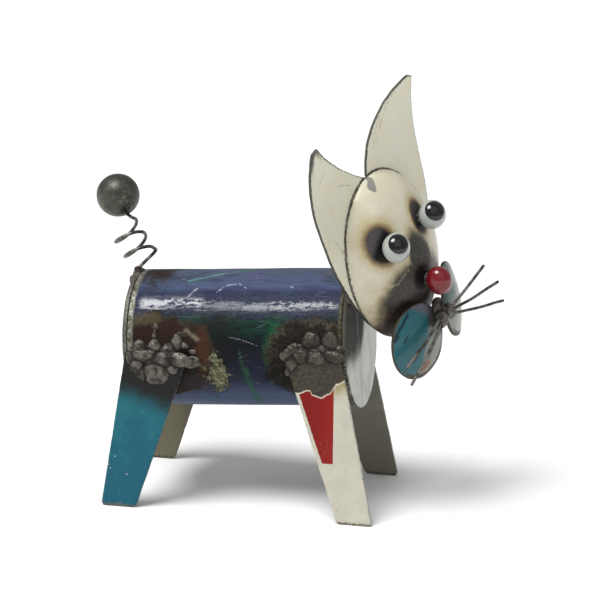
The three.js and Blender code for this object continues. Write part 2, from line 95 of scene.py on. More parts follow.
# Camera, floor and soft studio light
view = {"azimuth": 13.7, "elevation": 14.2, "distance": 850 * mm, "lens": 140.4,
        "aim": Vector((18.29, 0, 14.9)) * mm}


def setCamera():
    a, e = math.radians(view["azimuth"]), math.radians(view["elevation"])
    back = Vector((math.sin(a) * math.cos(e), -math.cos(a) * math.cos(e), math.sin(e)))
    lens = bpy.data.cameras.new("photoCamera")
    lens.lens = view["lens"]
    lens.sensor_width = 36
    camera = link("photoCamera", lens)
    camera.location = pipePlace + view["aim"] + back * view["distance"]
    camera.rotation_euler = back.to_track_quat("Z", "Y").to_euler()
    bpy.context.scene.camera = camera


studio = {"floorHalf": 4.0, "floorTone": 0.9, "air": 0.36,
          "key": {"from": (-0.23, -0.334, 0.915), "strength": 2.9, "spread": 27},
          "softboxes": [("leftBox", (-0.95, -0.35, 0.5), (0.5, 0.6), 1.6),
                        ("rightBox", (0.8, -0.9, 1.2), (1.6, 1.6), 3.2)]}


def aimLamp(name, light, place):
    lamp = link(name, light)
    lamp.location = pipePlace + Vector(place)
    lamp.rotation_euler = Vector(place).to_track_quat("Z", "Y").to_euler()


def setStudio():
    bm = bmesh.new()
    half = studio["floorHalf"]
    corners = [bm.verts.new(p) for p in ((-half, -half, 0), (half, -half, 0), (half, half, 0), (-half, half, 0))]
    bm.faces.new(corners)
    floor = solid(bm, "paleFloor")
    tone = studio["floorTone"]
    floor.data.materials.append(Bench("paleFloor").finish(color=(tone, tone, tone, 1), roughness=0.9))
    key = bpy.data.lights.new("keyLight", "SUN")
    key.energy = studio["key"]["strength"]
    key.angle = math.radians(studio["key"]["spread"])
    aimLamp("keyLight", key, studio["key"]["from"])
    for name, place, size, power in studio["softboxes"]:
        light = bpy.data.lights.new(name, "AREA")
        light.shape = "RECTANGLE"
        light.size, light.size_y = size
        light.energy = power
        aimLamp(name, light, place)
    world = bpy.data.worlds.new("studioAir")
    world.use_nodes = True
    world.node_tree.nodes["Background"].inputs[0].default_value = (1, 1, 1, 1)
    world.node_tree.nodes["Background"].inputs[1].default_value = studio["air"]
    bpy.context.scene.world = world
    bpy.context.scene.view_settings.view_transform = "Standard"


# Shader maths: a socket that adds Math nodes when it is used in an expression
class Wire:
    def __init__(self, bench, socket):
        self.bench = bench
        self.socket = socket

    def maths(self, operation, *values, clamp=False):
        settings = {"operation": operation, "use_clamp": clamp}
        return self.bench.node("ShaderNodeMath", settings, list(values))

    def __add__(self, other):
        return self.maths("ADD", self, other)

    def __radd__(self, other):
        return self.maths("ADD", other, self)

    def __sub__(self, other):
        return self.maths("SUBTRACT", self, other)

    def __rsub__(self, other):
        return self.maths("SUBTRACT", other, self)

    def __mul__(self, other):
        return self.maths("MULTIPLY", self, other)

    def __rmul__(self, other):
        return self.maths("MULTIPLY", other, self)

    def __truediv__(self, other):
        return self.maths("DIVIDE", self, other)

    def __rtruediv__(self, other):
        return self.maths("DIVIDE", other, self)

    def __pow__(self, other):
        return self.maths("POWER", self, other)

    def __neg__(self):
        return self.maths("MULTIPLY", self, -1)

    def __abs__(self):
        return self.maths("ABSOLUTE", self)

    def most(self, other):
        return self.maths("MAXIMUM", self, other)

    # Noise moved to lie about zero, this wide
    def sway(self, width):
        return (self - 0.5) * width


class Bench:
    def __init__(self, name):
        self.material = bpy.data.materials.new(name)
        self.material.use_nodes = True
        self.tree = self.material.node_tree
        self.shader = self.tree.nodes["Principled BSDF"]

    def node(self, kind, settings=None, values=None, output=0):
        made = self.tree.nodes.new(kind)
        for key, value in (settings or {}).items():
            if key == "stops":
                ramp = made.color_ramp
                while len(ramp.elements) < len(value):
                    ramp.elements.new(0.5)
                for element, (spot, color) in zip(ramp.elements, value):
                    element.position = spot
                    element.color = color
            else:
                setattr(made, key, value)
        pairs = values.items() if isinstance(values, dict) else enumerate(values or [])
        for key, value in pairs:
            socket = made.inputs[key]
            if isinstance(value, Wire):
                self.tree.links.new(value.socket, socket)
            else:
                socket.default_value = value
        return Wire(self, made.outputs[output])

    # Millimetres in a local frame
    def place(self, localFrame):
        place, turn = localFrame
        coordinates = self.node("ShaderNodeTexCoord", output="Object")
        return self.node("ShaderNodeMapping", {"vector_type": "TEXTURE"},
                         {"Vector": coordinates, "Location": place, "Rotation": turn, "Scale": (mm, mm, mm)})

    def parts(self, vector):
        apart = self.node("ShaderNodeSeparateXYZ", None, [vector])
        sockets = apart.socket.node.outputs
        return [Wire(self, sockets[i]) for i in range(3)]

    def join(self, x, y, z):
        return self.node("ShaderNodeCombineXYZ", None, [x, y, z])

    def stretch(self, vector, scale):
        return self.node("ShaderNodeVectorMath", {"operation": "MULTIPLY"}, [vector, scale])

    def shift(self, vector, move):
        return self.node("ShaderNodeVectorMath", {"operation": "ADD"}, [vector, move])

    def apart(self, vector, point):
        return self.node("ShaderNodeVectorMath", {"operation": "DISTANCE"}, [vector, point], "Value")

    def length(self, vector):
        return self.node("ShaderNodeVectorMath", {"operation": "LENGTH"}, [vector], "Value")

    def angle(self, y, x):
        return self.node("ShaderNodeMath", {"operation": "ARCTAN2"}, [y, x])

    # A value stored on the mesh: the distance to the cut edge, or the seam between two beads
    def stored(self, name):
        return self.node("ShaderNodeAttribute", {"attribute_name": name}, None, "Fac")

    # Noise between 0 and 1, its scale given as the size of one blot in mm
    def noise(self, vector, size, detail=3, rough=0.55, bend=0):
        return self.node("ShaderNodeTexNoise", {"noise_dimensions": "3D"},
                         {"Vector": vector, "Scale": 1 / size, "Detail": detail, "Roughness": rough,
                          "Distortion": bend}, "Fac")

    def cells(self, vector, size, feature="F1"):
        values = {"Vector": vector, "Scale": 1 / size}
        return self.node("ShaderNodeTexVoronoi", {"feature": feature}, values, "Distance")

    # 0 below low, 1 above high, eased between; low may be the larger
    def ease(self, value, low, high):
        if low > high:
            return 1 - self.ease(value, high, low)
        return self.node("ShaderNodeMapRange", {"interpolation_type": "SMOOTHSTEP"},
                         {"Value": value, "From Min": low, "From Max": high}, "Result")

    # Two colours, each a link or a six-figure code
    def mix(self, factor, first, second):
        first, second = (tint(tone) if isinstance(tone, str) else tone for tone in (first, second))
        return self.node("ShaderNodeMix", {"data_type": "RGBA"}, {0: factor, 6: first, 7: second}, 2)

    # How near a point on the flat (x, y) lies to the line between two points
    def nearLine(self, x, y, start, end):
        dx, dy = end[0] - start[0], end[1] - start[1]
        length = dx * dx + dy * dy
        along = x.maths("ADD", (x - start[0]) * (dx / length), (y - start[1]) * (dy / length), clamp=True)
        offX = x - start[0] - along * dx
        offY = y - start[1] - along * dy
        return (offX * offX + offY * offY) ** 0.5

    # An oval patch with a ragged edge: 1 inside, 0 outside
    def blot(self, vector, centre, radii, soft, ragged):
        scaled = self.stretch(self.shift(vector, [-c for c in centre]), [1 / r for r in radii])
        return self.ease(self.length(scaled) + ragged, 1 + soft, 1 - soft)

    def bump(self, height, distance):
        return self.node("ShaderNodeBump", None, {"Height": height, "Distance": distance * mm, "Strength": 1})

    def finish(self, **values):
        names = {"color": "Base Color", "roughness": "Roughness", "metal": "Metallic", "normal": "Normal",
                 "coat": "Coat Weight", "coatRoughness": "Coat Roughness", "gloss": "Specular IOR Level"}
        for key, value in values.items():
            socket = self.shader.inputs[names[key]]
            if isinstance(value, Wire):
                self.tree.links.new(value.socket, socket)
            else:
                socket.default_value = value
        return self.material


def tint(code):
    channels = [int(code[i:i + 2], 16) / 255 for i in (0, 2, 4)]
    return (*[c / 12.92 if c <= 0.04045 else ((c + 0.055) / 1.055) ** 2.4 for c in channels], 1)


# Meshes: points in a local frame, in mm, become an object at the origin of the cat's own frame
def keep(bm, name, localFrame, sharp=40):
    bmesh.ops.remove_doubles(bm, verts=bm.verts, dist=1e-3)     # a thousandth of a mm
    bmesh.ops.recalc_face_normals(bm, faces=bm.faces)
    bm.transform(carry(localFrame))
    made = solid(bm, name)
    soften(made.data, sharp)
    return made


def soften(mesh, sharp):
    mesh.shade_smooth()
    mesh.set_sharp_from_angle(angle=math.radians(sharp))


# Turns live modifiers into a plain mesh
def settle(made, sharp=40):
    bpy.context.view_layer.update()
    graph = bpy.context.evaluated_depsgraph_get()
    mesh = bpy.data.meshes.new_from_object(made.evaluated_get(graph))
    made.modifiers.clear()
    old = made.data
    if isinstance(old, bpy.types.Mesh):
        made.data = mesh
        bpy.data.meshes.remove(old)
    else:
        name = made.name
        bpy.data.objects.remove(made)
        made = link(name, mesh)
    mesh.name = made.name
    soften(mesh, sharp)
    return made


def roundEdges(made, width):
    bevel = made.modifiers.new("roundEdges", "BEVEL")
    bevel.width = width * mm
    bevel.segments = 2
    bevel.limit_method = "ANGLE"
    bevel.angle_limit = math.radians(50)
    return settle(made)


def dress(made, material, slot, *nodes):
    made.data.materials.clear()
    made.data.materials.append(material)
    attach(made, "root")
    if nodes:
        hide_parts(*nodes)
    return made


def wobble(point, size, seed=0):
    return noise.noise(Vector(point) / size + Vector((seed * 7.3, seed * 3.1, seed * 5.7)))


# A closed sheet over grids of flat points; skin gives the place of a point on either side
def sheet(name, grids, skin, localFrame, edge):
    points, lookup, cells = [], {}, []

    def number(point):
        key = (round(point[0], 3), round(point[1], 3))
        if key not in lookup:
            lookup[key] = len(points)
            points.append(point)
        return lookup[key]

    for grid in grids:
        numbers = [[number(point) for point in row] for row in grid]
        for low, high in zip(numbers, numbers[1:]):
            for i in range(len(low) - 1):
                corners = list(dict.fromkeys((low[i], low[i + 1], high[i + 1], high[i])))
                if len(corners) > 2:
                    cells.append(corners)
    bm = bmesh.new()
    front = [bm.verts.new(skin(point, 1)) for point in points]
    back = [bm.verts.new(skin(point, -1)) for point in points]
    uses = {}
    for corners in cells:
        bm.faces.new([front[i] for i in corners])
        bm.faces.new([back[i] for i in reversed(corners)])
        for a, b in zip(corners, corners[1:] + corners[:1]):
            uses.setdefault(frozenset((a, b)), []).append((a, b))
    rim = []
    for both in uses.values():
        if len(both) == 1:
            a, b = both[0]
            bm.faces.new([front[b], front[a], back[a], back[b]])
            start = (front[a].co + back[a].co) / 2
            end = (front[b].co + back[b].co) / 2
            rim += [start.lerp(end, step / 4) for step in range(4)]
    made = roundEdges(keep(bm, name, localFrame), edge)
    markRim(made, rim, localFrame)
    return made


# How far each corner of a piece is from its cut edge, in mm, for the wear along edges
def markRim(made, rim, localFrame):
    toFrame = carry(localFrame)
    tree = kdtree.KDTree(len(rim))
    for i, point in enumerate(rim):
        tree.insert(toFrame @ Vector(point), i)
    tree.balance()
    reach = [tree.find(vertex.co)[2] / mm for vertex in made.data.vertices]
    made.data.attributes.new("rim", "FLOAT", "POINT").data.foreach_set("value", reach)


# Faces between two rows of corners; a closed row joins its end to its start
def bridge(bm, low, high, closed=True):
    for i in range(len(low) if closed else len(low) - 1):
        j = (i + 1) % len(low)
        corners = list(dict.fromkeys((low[i], low[j], high[j], high[i])))
        if len(corners) > 2:
            bm.faces.new(corners)


# A profile of (along, radius) points spun about the local X axis
def spun(name, profile, segments, localFrame, shape, closed=False):
    bm = bmesh.new()
    rings = []
    for along, radius in profile:
        if radius == 0:
            rings.append([bm.verts.new((along, 0, 0))] * segments)
            continue
        ring = []
        for i in range(segments):
            angle = 2 * math.pi * i / segments
            ring.append(bm.verts.new((along, radius * math.sin(angle), radius * math.cos(angle))))
        rings.append(ring)
    pairs = list(zip(rings, rings[1:]))
    if closed:
        pairs.append((rings[-1], rings[0]))
    for low, high in pairs:
        bridge(bm, low, high)
    for vertex in bm.verts:
        vertex.co = shape(vertex.co)
    return keep(bm, name, localFrame)


def stepped(start, end, count):
    return [start + (end - start) * i / count for i in range(count + 1)]


# Body pipe with rounded rims, and the two discs that close it
pipe = {"radius": 25, "wall": 1.5, "half": 39.7, "rimRound": 0.35, "segments": 160, "steps": 70, "dent": 0.12}
discs = {"rear": {"at": -40.8, "radius": 25, "thickness": 1.6},
         "front": {"at": 40.7, "radius": 25.8, "thickness": 1.4}}


def makePipe():
    outer, inner, half, soft = pipe["radius"], pipe["radius"] - pipe["wall"], pipe["half"], pipe["rimRound"]
    profile = [(along, outer) for along in stepped(-half + soft, half - soft, pipe["steps"])]
    for step in (1, 2, 3):
        turn = step * math.pi / 8
        profile.append((half - soft + soft * math.sin(turn), outer - soft + soft * math.cos(turn)))
    profile += [(half, outer - soft), (half, inner), (0, inner), (-half, inner), (-half, outer - soft)]
    for step in (3, 2, 1):
        turn = step * math.pi / 8
        profile.append((-half + soft - soft * math.sin(turn), outer - soft + soft * math.cos(turn)))

    def dented(point):
        depth = pipe["dent"] * wobble(point, 16) if abs(point.x) < half - 2 else 0
        return point + Vector((0, point.y, point.z)).normalized() * depth

    return spun("body_tube_enamel", profile, pipe["segments"], pipeFrame, dented, closed=True)


def makeDisc(name, plan, seed):
    half, radius, soft = plan["thickness"] / 2, plan["radius"], 0.3
    front = [(half, radius * reach) for reach in stepped(0, 0.97, 18)]
    rim = [(half - soft * 0.25, radius - soft * 0.3), (half - soft, radius), (-half + soft, radius),
           (-half + soft * 0.25, radius - soft * 0.3)]
    back = [(-half, radius * reach) for reach in stepped(0.97, 0, 18)]

    def hammered(point):
        reach = math.hypot(point.y, point.z)
        ragged = 1 + 0.004 * wobble((point.y, point.z, 0), 5, seed) * (reach / radius) ** 4
        sunk = 0.22 * wobble(point, 13, seed) * (1 - (reach / radius) ** 4)
        return Vector((plan["at"] + point.x + sunk * 0.5, point.y * ragged, point.z * ragged))

    made = spun(name, front + rim + back, 128, pipeFrame, hammered)
    edge = [Vector((plan["at"], radius * math.sin(a), radius * math.cos(a))) for a in stepped(0, 2 * math.pi, 400)]
    markRim(made, edge, pipeFrame)
    return made


# Sheet legs, hand cut: slightly uneven edges and a slight bow
legPlan = {"thickness": 1.5, "lean": math.radians(3), "chamfer": 1.1, "uneven": 0.16, "gap": 0.3}
rearLeg = {"height": 57.5, "foot": 13, "top": 23.5, "shift": 14.5}
frontLeg = {"height": 62, "foot": 12.8, "top": 20.9, "shift": -16.7}
legs = {"rear_right": {**rearLeg, "side": -1, "at": -42.8}, "front_right": {**frontLeg, "side": -1, "at": 45.4},
        "rear_left": {**rearLeg, "side": 1, "at": -45.2}, "front_left": {**frontLeg, "side": 1, "at": 43.1}}


def axisHeight(x):
    return pipePlace.z / mm + math.tan(math.radians(pose["pipePitch"])) * x


def legInner(leg, z):
    touch = (pipe["radius"] + legPlan["gap"]) / math.cos(legPlan["lean"])
    return touch + math.tan(legPlan["lean"]) * (axisHeight(leg["at"] + leg["shift"]) - z)


def legEdges(leg, z):
    tilt = z / leg["height"]
    half = leg["foot"] / 2 + (leg["top"] - leg["foot"]) / 2 * tilt
    if z < legPlan["chamfer"]:
        half -= legPlan["chamfer"] - z
    middle = leg["at"] + leg["shift"] * tilt
    return middle - half, middle + half


def makeLeg(name, leg, seed):
    heights = sorted({0, 0.4, 0.8, 1.1, *stepped(0, leg["height"], 84)[2:]})
    grid = []
    for z in heights:
        low, high = legEdges(leg, z)
        fade = min(1, z / 3)
        low += fade * legPlan["uneven"] * (wobble((0, 0, z), 6, seed) + 0.6 * wobble((0, 0, z), 1.3, seed))
        high += fade * legPlan["uneven"] * (wobble((9, 0, z), 5, seed) + 0.6 * wobble((9, 0, z), 1.1, seed))
        grid.append([(x, z) for x in stepped(low, high, 26)])

    def skin(point, face):
        x, z = point
        bow = 0.12 * wobble((x, 0, z), 18, seed)
        depth = legInner(leg, z) + legPlan["thickness"] * (0.5 + 0.5 * face) + bow * min(1, z / 10)
        return x, leg["side"] * depth, z

    return sheet(f"{name}_leg_sheet", [grid], skin, catFrame, 0.22)


# Lumps of weld: overlapping beads fused into one skin, then roughened
weldPlan = {"voxel": 0.28, "lumpSize": 2, "lump": 0.6, "grainSize": 0.8, "grain": 0.05, "seam": 0.4,
            "flat": 0.34, "spread": 1.14, "smoothing": 8}


def weldLump(name, beads, localFrame, seed, lump=1, grain=1):
    bm = bmesh.new()
    for place, radii in beads:
        move = Matrix.Translation(place) @ Matrix.Diagonal((*radii, 1))
        bmesh.ops.create_icosphere(bm, subdivisions=3, radius=1, matrix=move)
    bm.transform(carry(localFrame))
    made = solid(bm, name)
    remesh = made.modifiers.new("fuse", "REMESH")
    remesh.mode = "VOXEL"
    remesh.voxel_size = weldPlan["voxel"] * mm
    smooth = made.modifiers.new("flow", "SMOOTH")
    smooth.iterations = weldPlan["smoothing"]
    made = settle(made, 60)
    mesh = made.data
    moved = []
    for vertex in mesh.vertices:
        spot = vertex.co / mm
        rise = lump * weldPlan["lump"] * wobble(spot, weldPlan["lumpSize"], seed)
        rise += grain * weldPlan["grain"] * wobble(spot, weldPlan["grainSize"], seed + 1)
        moved.append(vertex.co + vertex.normal * rise * mm)
    for vertex, spot in zip(mesh.vertices, moved):
        vertex.co = spot
    mesh.update()
    soften(mesh, 60)
    markSeams(mesh, beads, localFrame)
    return made


# Where two beads meet: 1 in the seam between them, 0 on a bead
def markSeams(mesh, beads, localFrame):
    place, turn = localFrame
    back = turn.to_matrix().transposed()
    values = []
    for vertex in mesh.vertices:
        spot = back @ (vertex.co - place) / mm
        reach = sorted(Vector([(s - c) / r for s, c, r in zip(spot, centre, radii)]).length
                       for centre, radii in beads)
        values.append(max(0, 1 - (reach[1] - reach[0]) / weldPlan["seam"]) if len(reach) > 1 else 0)
    mesh.attributes.new("seam", "FLOAT", "POINT").data.foreach_set("value", values)


# Beads of the leg welds: along the cat, height, how far across and how tall
rearBeads = [(-35.1, 58.8, 2.6, 2.9), (-29.6, 59.2, 2.5, 3), (-29.6, 63.4, 0.8, 2.6), (-29.4, 66.6, 1.1, 1.4),
             (-24.1, 57.6, 2.9, 3.4), (-21.1, 61.5, 1.9, 3.2), (-19.2, 64.9, 2.2, 1), (-16.7, 55.2, 4.2, 2.2),
             (-15.5, 58.9, 1.7, 0.8), (-38, 55.5, 1.5, 2.4), (-35.8, 52.6, 2.3, 3), (-33.4, 50, 1.9, 2.2),
             (-28.3, 50.6, 4.3, 3.8), (-30.1, 55.2, 3.1, 1.5), (-22.2, 52.8, 2.3, 1.9), (-32.5, 56.6, 5, 2.2),
             (-25.5, 55.6, 5, 2.6), (-20.5, 56, 5, 2.6), (-18.4, 61, 1.6, 1.4)]
frontBeads = [(28.4, 65.2, 3, 3.5), (35.2, 65.8, 2.7, 3.3), (31.7, 62, 5.4, 2.4), (20.4, 60.4, 2.6, 2.2),
              (21.8, 57.6, 2.2, 3.4), (22.9, 62.4, 3.1, 1.9), (39.4, 63, 2.6, 1.6), (25.3, 60.2, 3.3, 2.2),
              (36.8, 60.9, 4, 1.9), (30.7, 60, 5.4, 2.1), (20.6, 55, 1.2, 1.8)]


def surfaceAcross(leg, x, z):
    rise = z - axisHeight(x)
    pipeSide = math.sqrt(max(0, pipe["radius"] ** 2 - rise ** 2))
    low, high = legEdges(leg, z)
    onLeg = z < leg["height"] and low < x < high
    return max(pipeSide, legInner(leg, z) + legPlan["thickness"] if onLeg else 0)


def makeLegWeld(name, leg, beads, seed):
    placed = []
    for x, z, wide, tall in beads:
        depth = weldPlan["flat"] * min(wide, tall) + 0.6
        across = surfaceAcross(leg, x, z) - 0.15 * depth
        spread = weldPlan["spread"]
        placed.append(((x, leg["side"] * across, z), (wide * spread, depth, tall * spread)))
    return weldLump(f"{name}_weld_beads", placed, catFrame, seed)


# Head: one flat sheet with both ears, and the pressed face in front of it
plate = {"thickness": 1, "gap": 0.3, "chinDrop": 32.6, "chin": (7, -32.1), "jaw": (21, -16.7), "cheek": (29.6, 6.6),
         "widest": (32, 25.4), "notch": 31, "bendStart": 30, "rows": 90, "middleRows": 55, "columns": 22,
         "uneven": 0.16}
ears = {1: {"outer": (33.4, 39), "tipOuter": (35.2, 53.4), "tipInner": (32.8, 54.9), "pull": (6, 55.2), "bend": 4},
        -1: {"outer": (32, 40), "tipOuter": (32.4, 58.6), "tipInner": (30, 59.4), "pull": (14, 41), "bend": 8}}


# A smooth line through points, t from 0 to 1
def through(points, t):
    spans = len(points) - 1
    first = min(int(t * spans), spans - 1)
    part = t * spans - first
    a, b, c, d = (Vector(points[max(0, min(spans, first + step))]) for step in (-1, 0, 1, 2))
    return (2 * b + (c - a) * part + (2 * a - 5 * b + 4 * c - d) * part ** 2
            + (3 * b - a - 3 * c + d) * part ** 3) / 2


def makeEarPlate():
    grids = []
    for side, ear in ears.items():
        edge = [plate["chin"], plate["jaw"], plate["cheek"], plate["widest"], ear["outer"], ear["tipOuter"]]
        notch, pull, tip = Vector((0, plate["notch"])), Vector(ear["pull"]), Vector(ear["tipInner"])
        grid = []
        for row in range(plate["rows"] + 1):
            outer = through(edge, row / plate["rows"])
            if row <= plate["middleRows"]:
                rise = (plate["chinDrop"] + plate["notch"]) * row / plate["middleRows"]
                inner = Vector((0, rise - plate["chinDrop"]))
            else:
                t = (row - plate["middleRows"]) / (plate["rows"] - plate["middleRows"])
                inner = notch * (1 - t) ** 2 + pull * 2 * t * (1 - t) + tip * t * t
            line = [inner.lerp(outer, share) for share in stepped(0, 1, plate["columns"])]
            grid.append([(side * spot.x + 0.0, spot.y) for spot in line])
        grids.append(grid)

    def skin(point, face):
        across, up = point
        ear = ears[1 if across > 0 else -1]
        rise = max(0, up - plate["bendStart"]) / (ear["tipInner"][1] - plate["bendStart"])
        lean = ear["bend"] * rise * rise + 0.25 * wobble((across, up, 3), 14) * min(1, rise * 4)
        shiftAcross = plate["uneven"] * wobble((across, up, 0), 3.4)
        shiftUp = plate["uneven"] * wobble((across, up, 9), 3.1)
        half = plate["thickness"] / 2
        return lean - plate["gap"] - half + half * face, across + shiftAcross, up + shiftUp

    return sheet("ear_plate_sheet", grids, skin, headFrame, 0.2)


face = {"halfWidth": 25, "halfHeight": 31.8, "depth": 12.4, "roundness": 0.6, "wall": 1,
        "muzzle": 3, "muzzleDrop": 12, "muzzleAcross": 9, "muzzleUp": 11, "rings": 60, "spokes": 144, "dent": 0.22}


def faceRise(across, up, inset=0):
    width, height = face["halfWidth"] - inset, face["halfHeight"] - inset
    reach = min(1, (across / width) ** 2 + (up / height) ** 2)
    swell = math.exp(-(across / face["muzzleAcross"]) ** 2 - ((up + face["muzzleDrop"]) / face["muzzleUp"]) ** 2)
    return (face["depth"] - inset) * (1 - reach) ** face["roundness"] + face["muzzle"] * swell * (1 - reach)


def makeFace():
    bm = bmesh.new()
    skins = []
    for inset in (0, face["wall"]):
        width, height = face["halfWidth"] - inset, face["halfHeight"] - inset
        middle = bm.verts.new((faceRise(0, 0, inset), 0, 0))
        rings = [[middle] * face["spokes"]]
        for ring in range(1, face["rings"] + 1):
            reach = math.sin(ring / face["rings"] * math.pi / 2)
            row = []
            for spoke in range(face["spokes"]):
                angle = 2 * math.pi * spoke / face["spokes"]
                across, up = width * reach * math.cos(angle), height * reach * math.sin(angle)
                rise = faceRise(across, up, inset)
                dent = face["dent"] * wobble((across, up, 0), 9) * (1 - reach ** 6)
                cut = 1 + 0.007 * wobble((math.cos(angle) * 5, math.sin(angle) * 5, 0), 1.2) * reach ** 8
                row.append(bm.verts.new((rise + dent, across * cut, up * cut)))
            rings.append(row)
        skins.append(rings)
    for rings in skins:
        for low, high in zip(rings, rings[1:]):
            bridge(bm, low, high)
    outer, inner = skins[0][-1], skins[1][-1]
    rim = [vertex.co.copy() for vertex in outer]
    bridge(bm, outer, inner)
    made = keep(bm, "face_dome_shell", headFrame, 50)
    markRim(made, rim, headFrame)
    return made


# Balls that rest on the face: half sizes along the face and across
balls = {"right_eye": {"across": -11.45, "up": 10.4, "radii": (4.7, 5.3, 5.3)},
         "left_eye": {"across": 9.05, "up": 10.4, "radii": (4.7, 5.3, 5.3)},
         "nose": {"across": -0.5, "up": -8.9, "radii": (4.6, 4.6, 5.3)}}


def ballPlace(ball):
    across, up, step = ball["across"], ball["up"], 0.05
    slopeAcross = (faceRise(across + step, up) - faceRise(across - step, up)) / (2 * step)
    slopeUp = (faceRise(across, up + step) - faceRise(across, up - step)) / (2 * step)
    normal = Vector((1, -slopeAcross, -slopeUp)).normalized()
    reach = Vector(r * n for r, n in zip(ball["radii"], normal)).length
    return Vector((faceRise(across, up), across, up)) + normal * (reach + plate["gap"]), normal


# A hand-dipped ball: nearly round, a little uneven all over
def makeBall(name, ball, seed):
    centre = ballPlace(ball)[0]
    bm = bmesh.new()
    bmesh.ops.create_icosphere(bm, subdivisions=5, radius=1)
    for vertex in bm.verts:
        sag = 1 + 0.006 * wobble(vertex.co, 0.8, seed)
        vertex.co = centre + Vector(r * c * sag for r, c in zip(ball["radii"], vertex.co))
    return keep(bm, name, headFrame, 80)


# A collar of weld between a ball and the face
collar = {"beads": 9, "reach": 2, "reachUneven": 0.35, "size": 0.95, "sizeUneven": 0.25, "bite": 0.3,
          "lump": 0.5, "grain": 0.8}


def makeCollar(name, ball, seed):
    centre, normal = ballPlace(ball)
    foot = centre - normal * (ball["radii"][0] + plate["gap"] - collar["bite"])
    sideways = normal.cross(Vector((0, 0, 1))).normalized()
    upwards = sideways.cross(normal)
    beads = []
    for i in range(collar["beads"]):
        angle = 2 * math.pi * i / collar["beads"]
        reach = collar["reach"] + collar["reachUneven"] * wobble((i, 0, 0), 1.7, seed)
        spot = foot + sideways * reach * math.cos(angle) + upwards * reach * math.sin(angle)
        size = collar["size"] + collar["sizeUneven"] * wobble((0, i, 0), 1.7, seed)
        beads.append((spot, (size, size, size)))
    return weldLump(name, beads, headFrame, seed, collar["lump"], collar["grain"])


cheeks = {"radius": 13.8, "dish": 2.4, "wall": 1, "lip": 0.3,
          "right": {"at": (12, -12.6, -28), "turn": -6}, "left": {"at": (10.6, 13.8, -26.4), "turn": 25}}


def makeCheek(name, plan, seed):
    radius, dish, wall, lip = cheeks["radius"], cheeks["dish"], cheeks["wall"], cheeks["lip"]
    front = [(dish * (1 - reach ** 2), radius * reach) for reach in stepped(0, 0.985, 26)]
    rim = [(-lip * 0.3, radius - lip * 0.15), (-lip, radius), (-wall + lip, radius),
           (-wall + lip * 0.3, radius - 0.1)]
    back = [(dish * (1 - reach ** 2) - wall, radius * reach) for reach in stepped(0.985, 0, 26)]
    turn = Matrix.Rotation(math.radians(plan["turn"]), 3, "Z")

    def cut(point):
        reach = math.hypot(point.y, point.z) / radius
        angle = math.atan2(point.z, point.y)
        ragged = 1 + 0.012 * wobble((math.cos(angle) * 4, math.sin(angle) * 4, 0), 1.3, seed) * reach ** 6
        bent = point.x + 0.3 * wobble((point.y, point.z, 0), 9, seed) * reach
        return turn @ Vector((bent, point.y * ragged, point.z * ragged)) + Vector(plan["at"])

    made = spun(name, front + rim + back, 112, headFrame, cut)
    edge = [turn @ Vector((-wall / 2, radius * math.cos(a), radius * math.sin(a))) + Vector(plan["at"])
            for a in stepped(0, 2 * math.pi, 360)]
    markRim(made, edge, headFrame)
    return made


# Geometry Nodes: a small helper for trees, then the wires and the weld spatter
class Tree:
    def __init__(self, name, inputs):
        self.group = bpy.data.node_groups.new(name, "GeometryNodeTree")
        self.group.interface.new_socket("Geometry", in_out="INPUT", socket_type="NodeSocketGeometry")
        self.ids = {}
        for label, (kind, value) in inputs.items():
            socket = self.group.interface.new_socket(label, in_out="INPUT", socket_type=kind)
            if value is not None:
                socket.default_value = value
            self.ids[label] = socket.identifier
        self.group.interface.new_socket("Geometry", in_out="OUTPUT", socket_type="NodeSocketGeometry")
        self.start = self.group.nodes.new("NodeGroupInput")

    def node(self, kind, settings=None, values=None, output=0):
        made = self.group.nodes.new(kind)
        for key, value in (settings or {}).items():
            setattr(made, key, value)
        for key, value in (values or {}).items():
            if isinstance(value, bpy.types.NodeSocket):
                self.group.links.new(value, made.inputs[key])
            else:
                made.inputs[key].default_value = value
        return made.outputs[output]

    def given(self, label):
        return self.start.outputs[label]

    def end(self, geometry):
        whole = self.node("GeometryNodeRealizeInstances", None, {0: geometry})
        painted = self.node("GeometryNodeSetMaterial", None, {"Geometry": whole, "Material": self.given("Finish")})
        last = self.group.nodes.new("NodeGroupOutput")
        self.group.links.new(painted, last.inputs[0])

    def apply(self, made, **values):
        modifier = made.modifiers.new(self.group.name, "NODES")
        modifier.node_group = self.group
        for label, value in values.items():
            modifier[self.ids[label]] = value
        return settle(made)


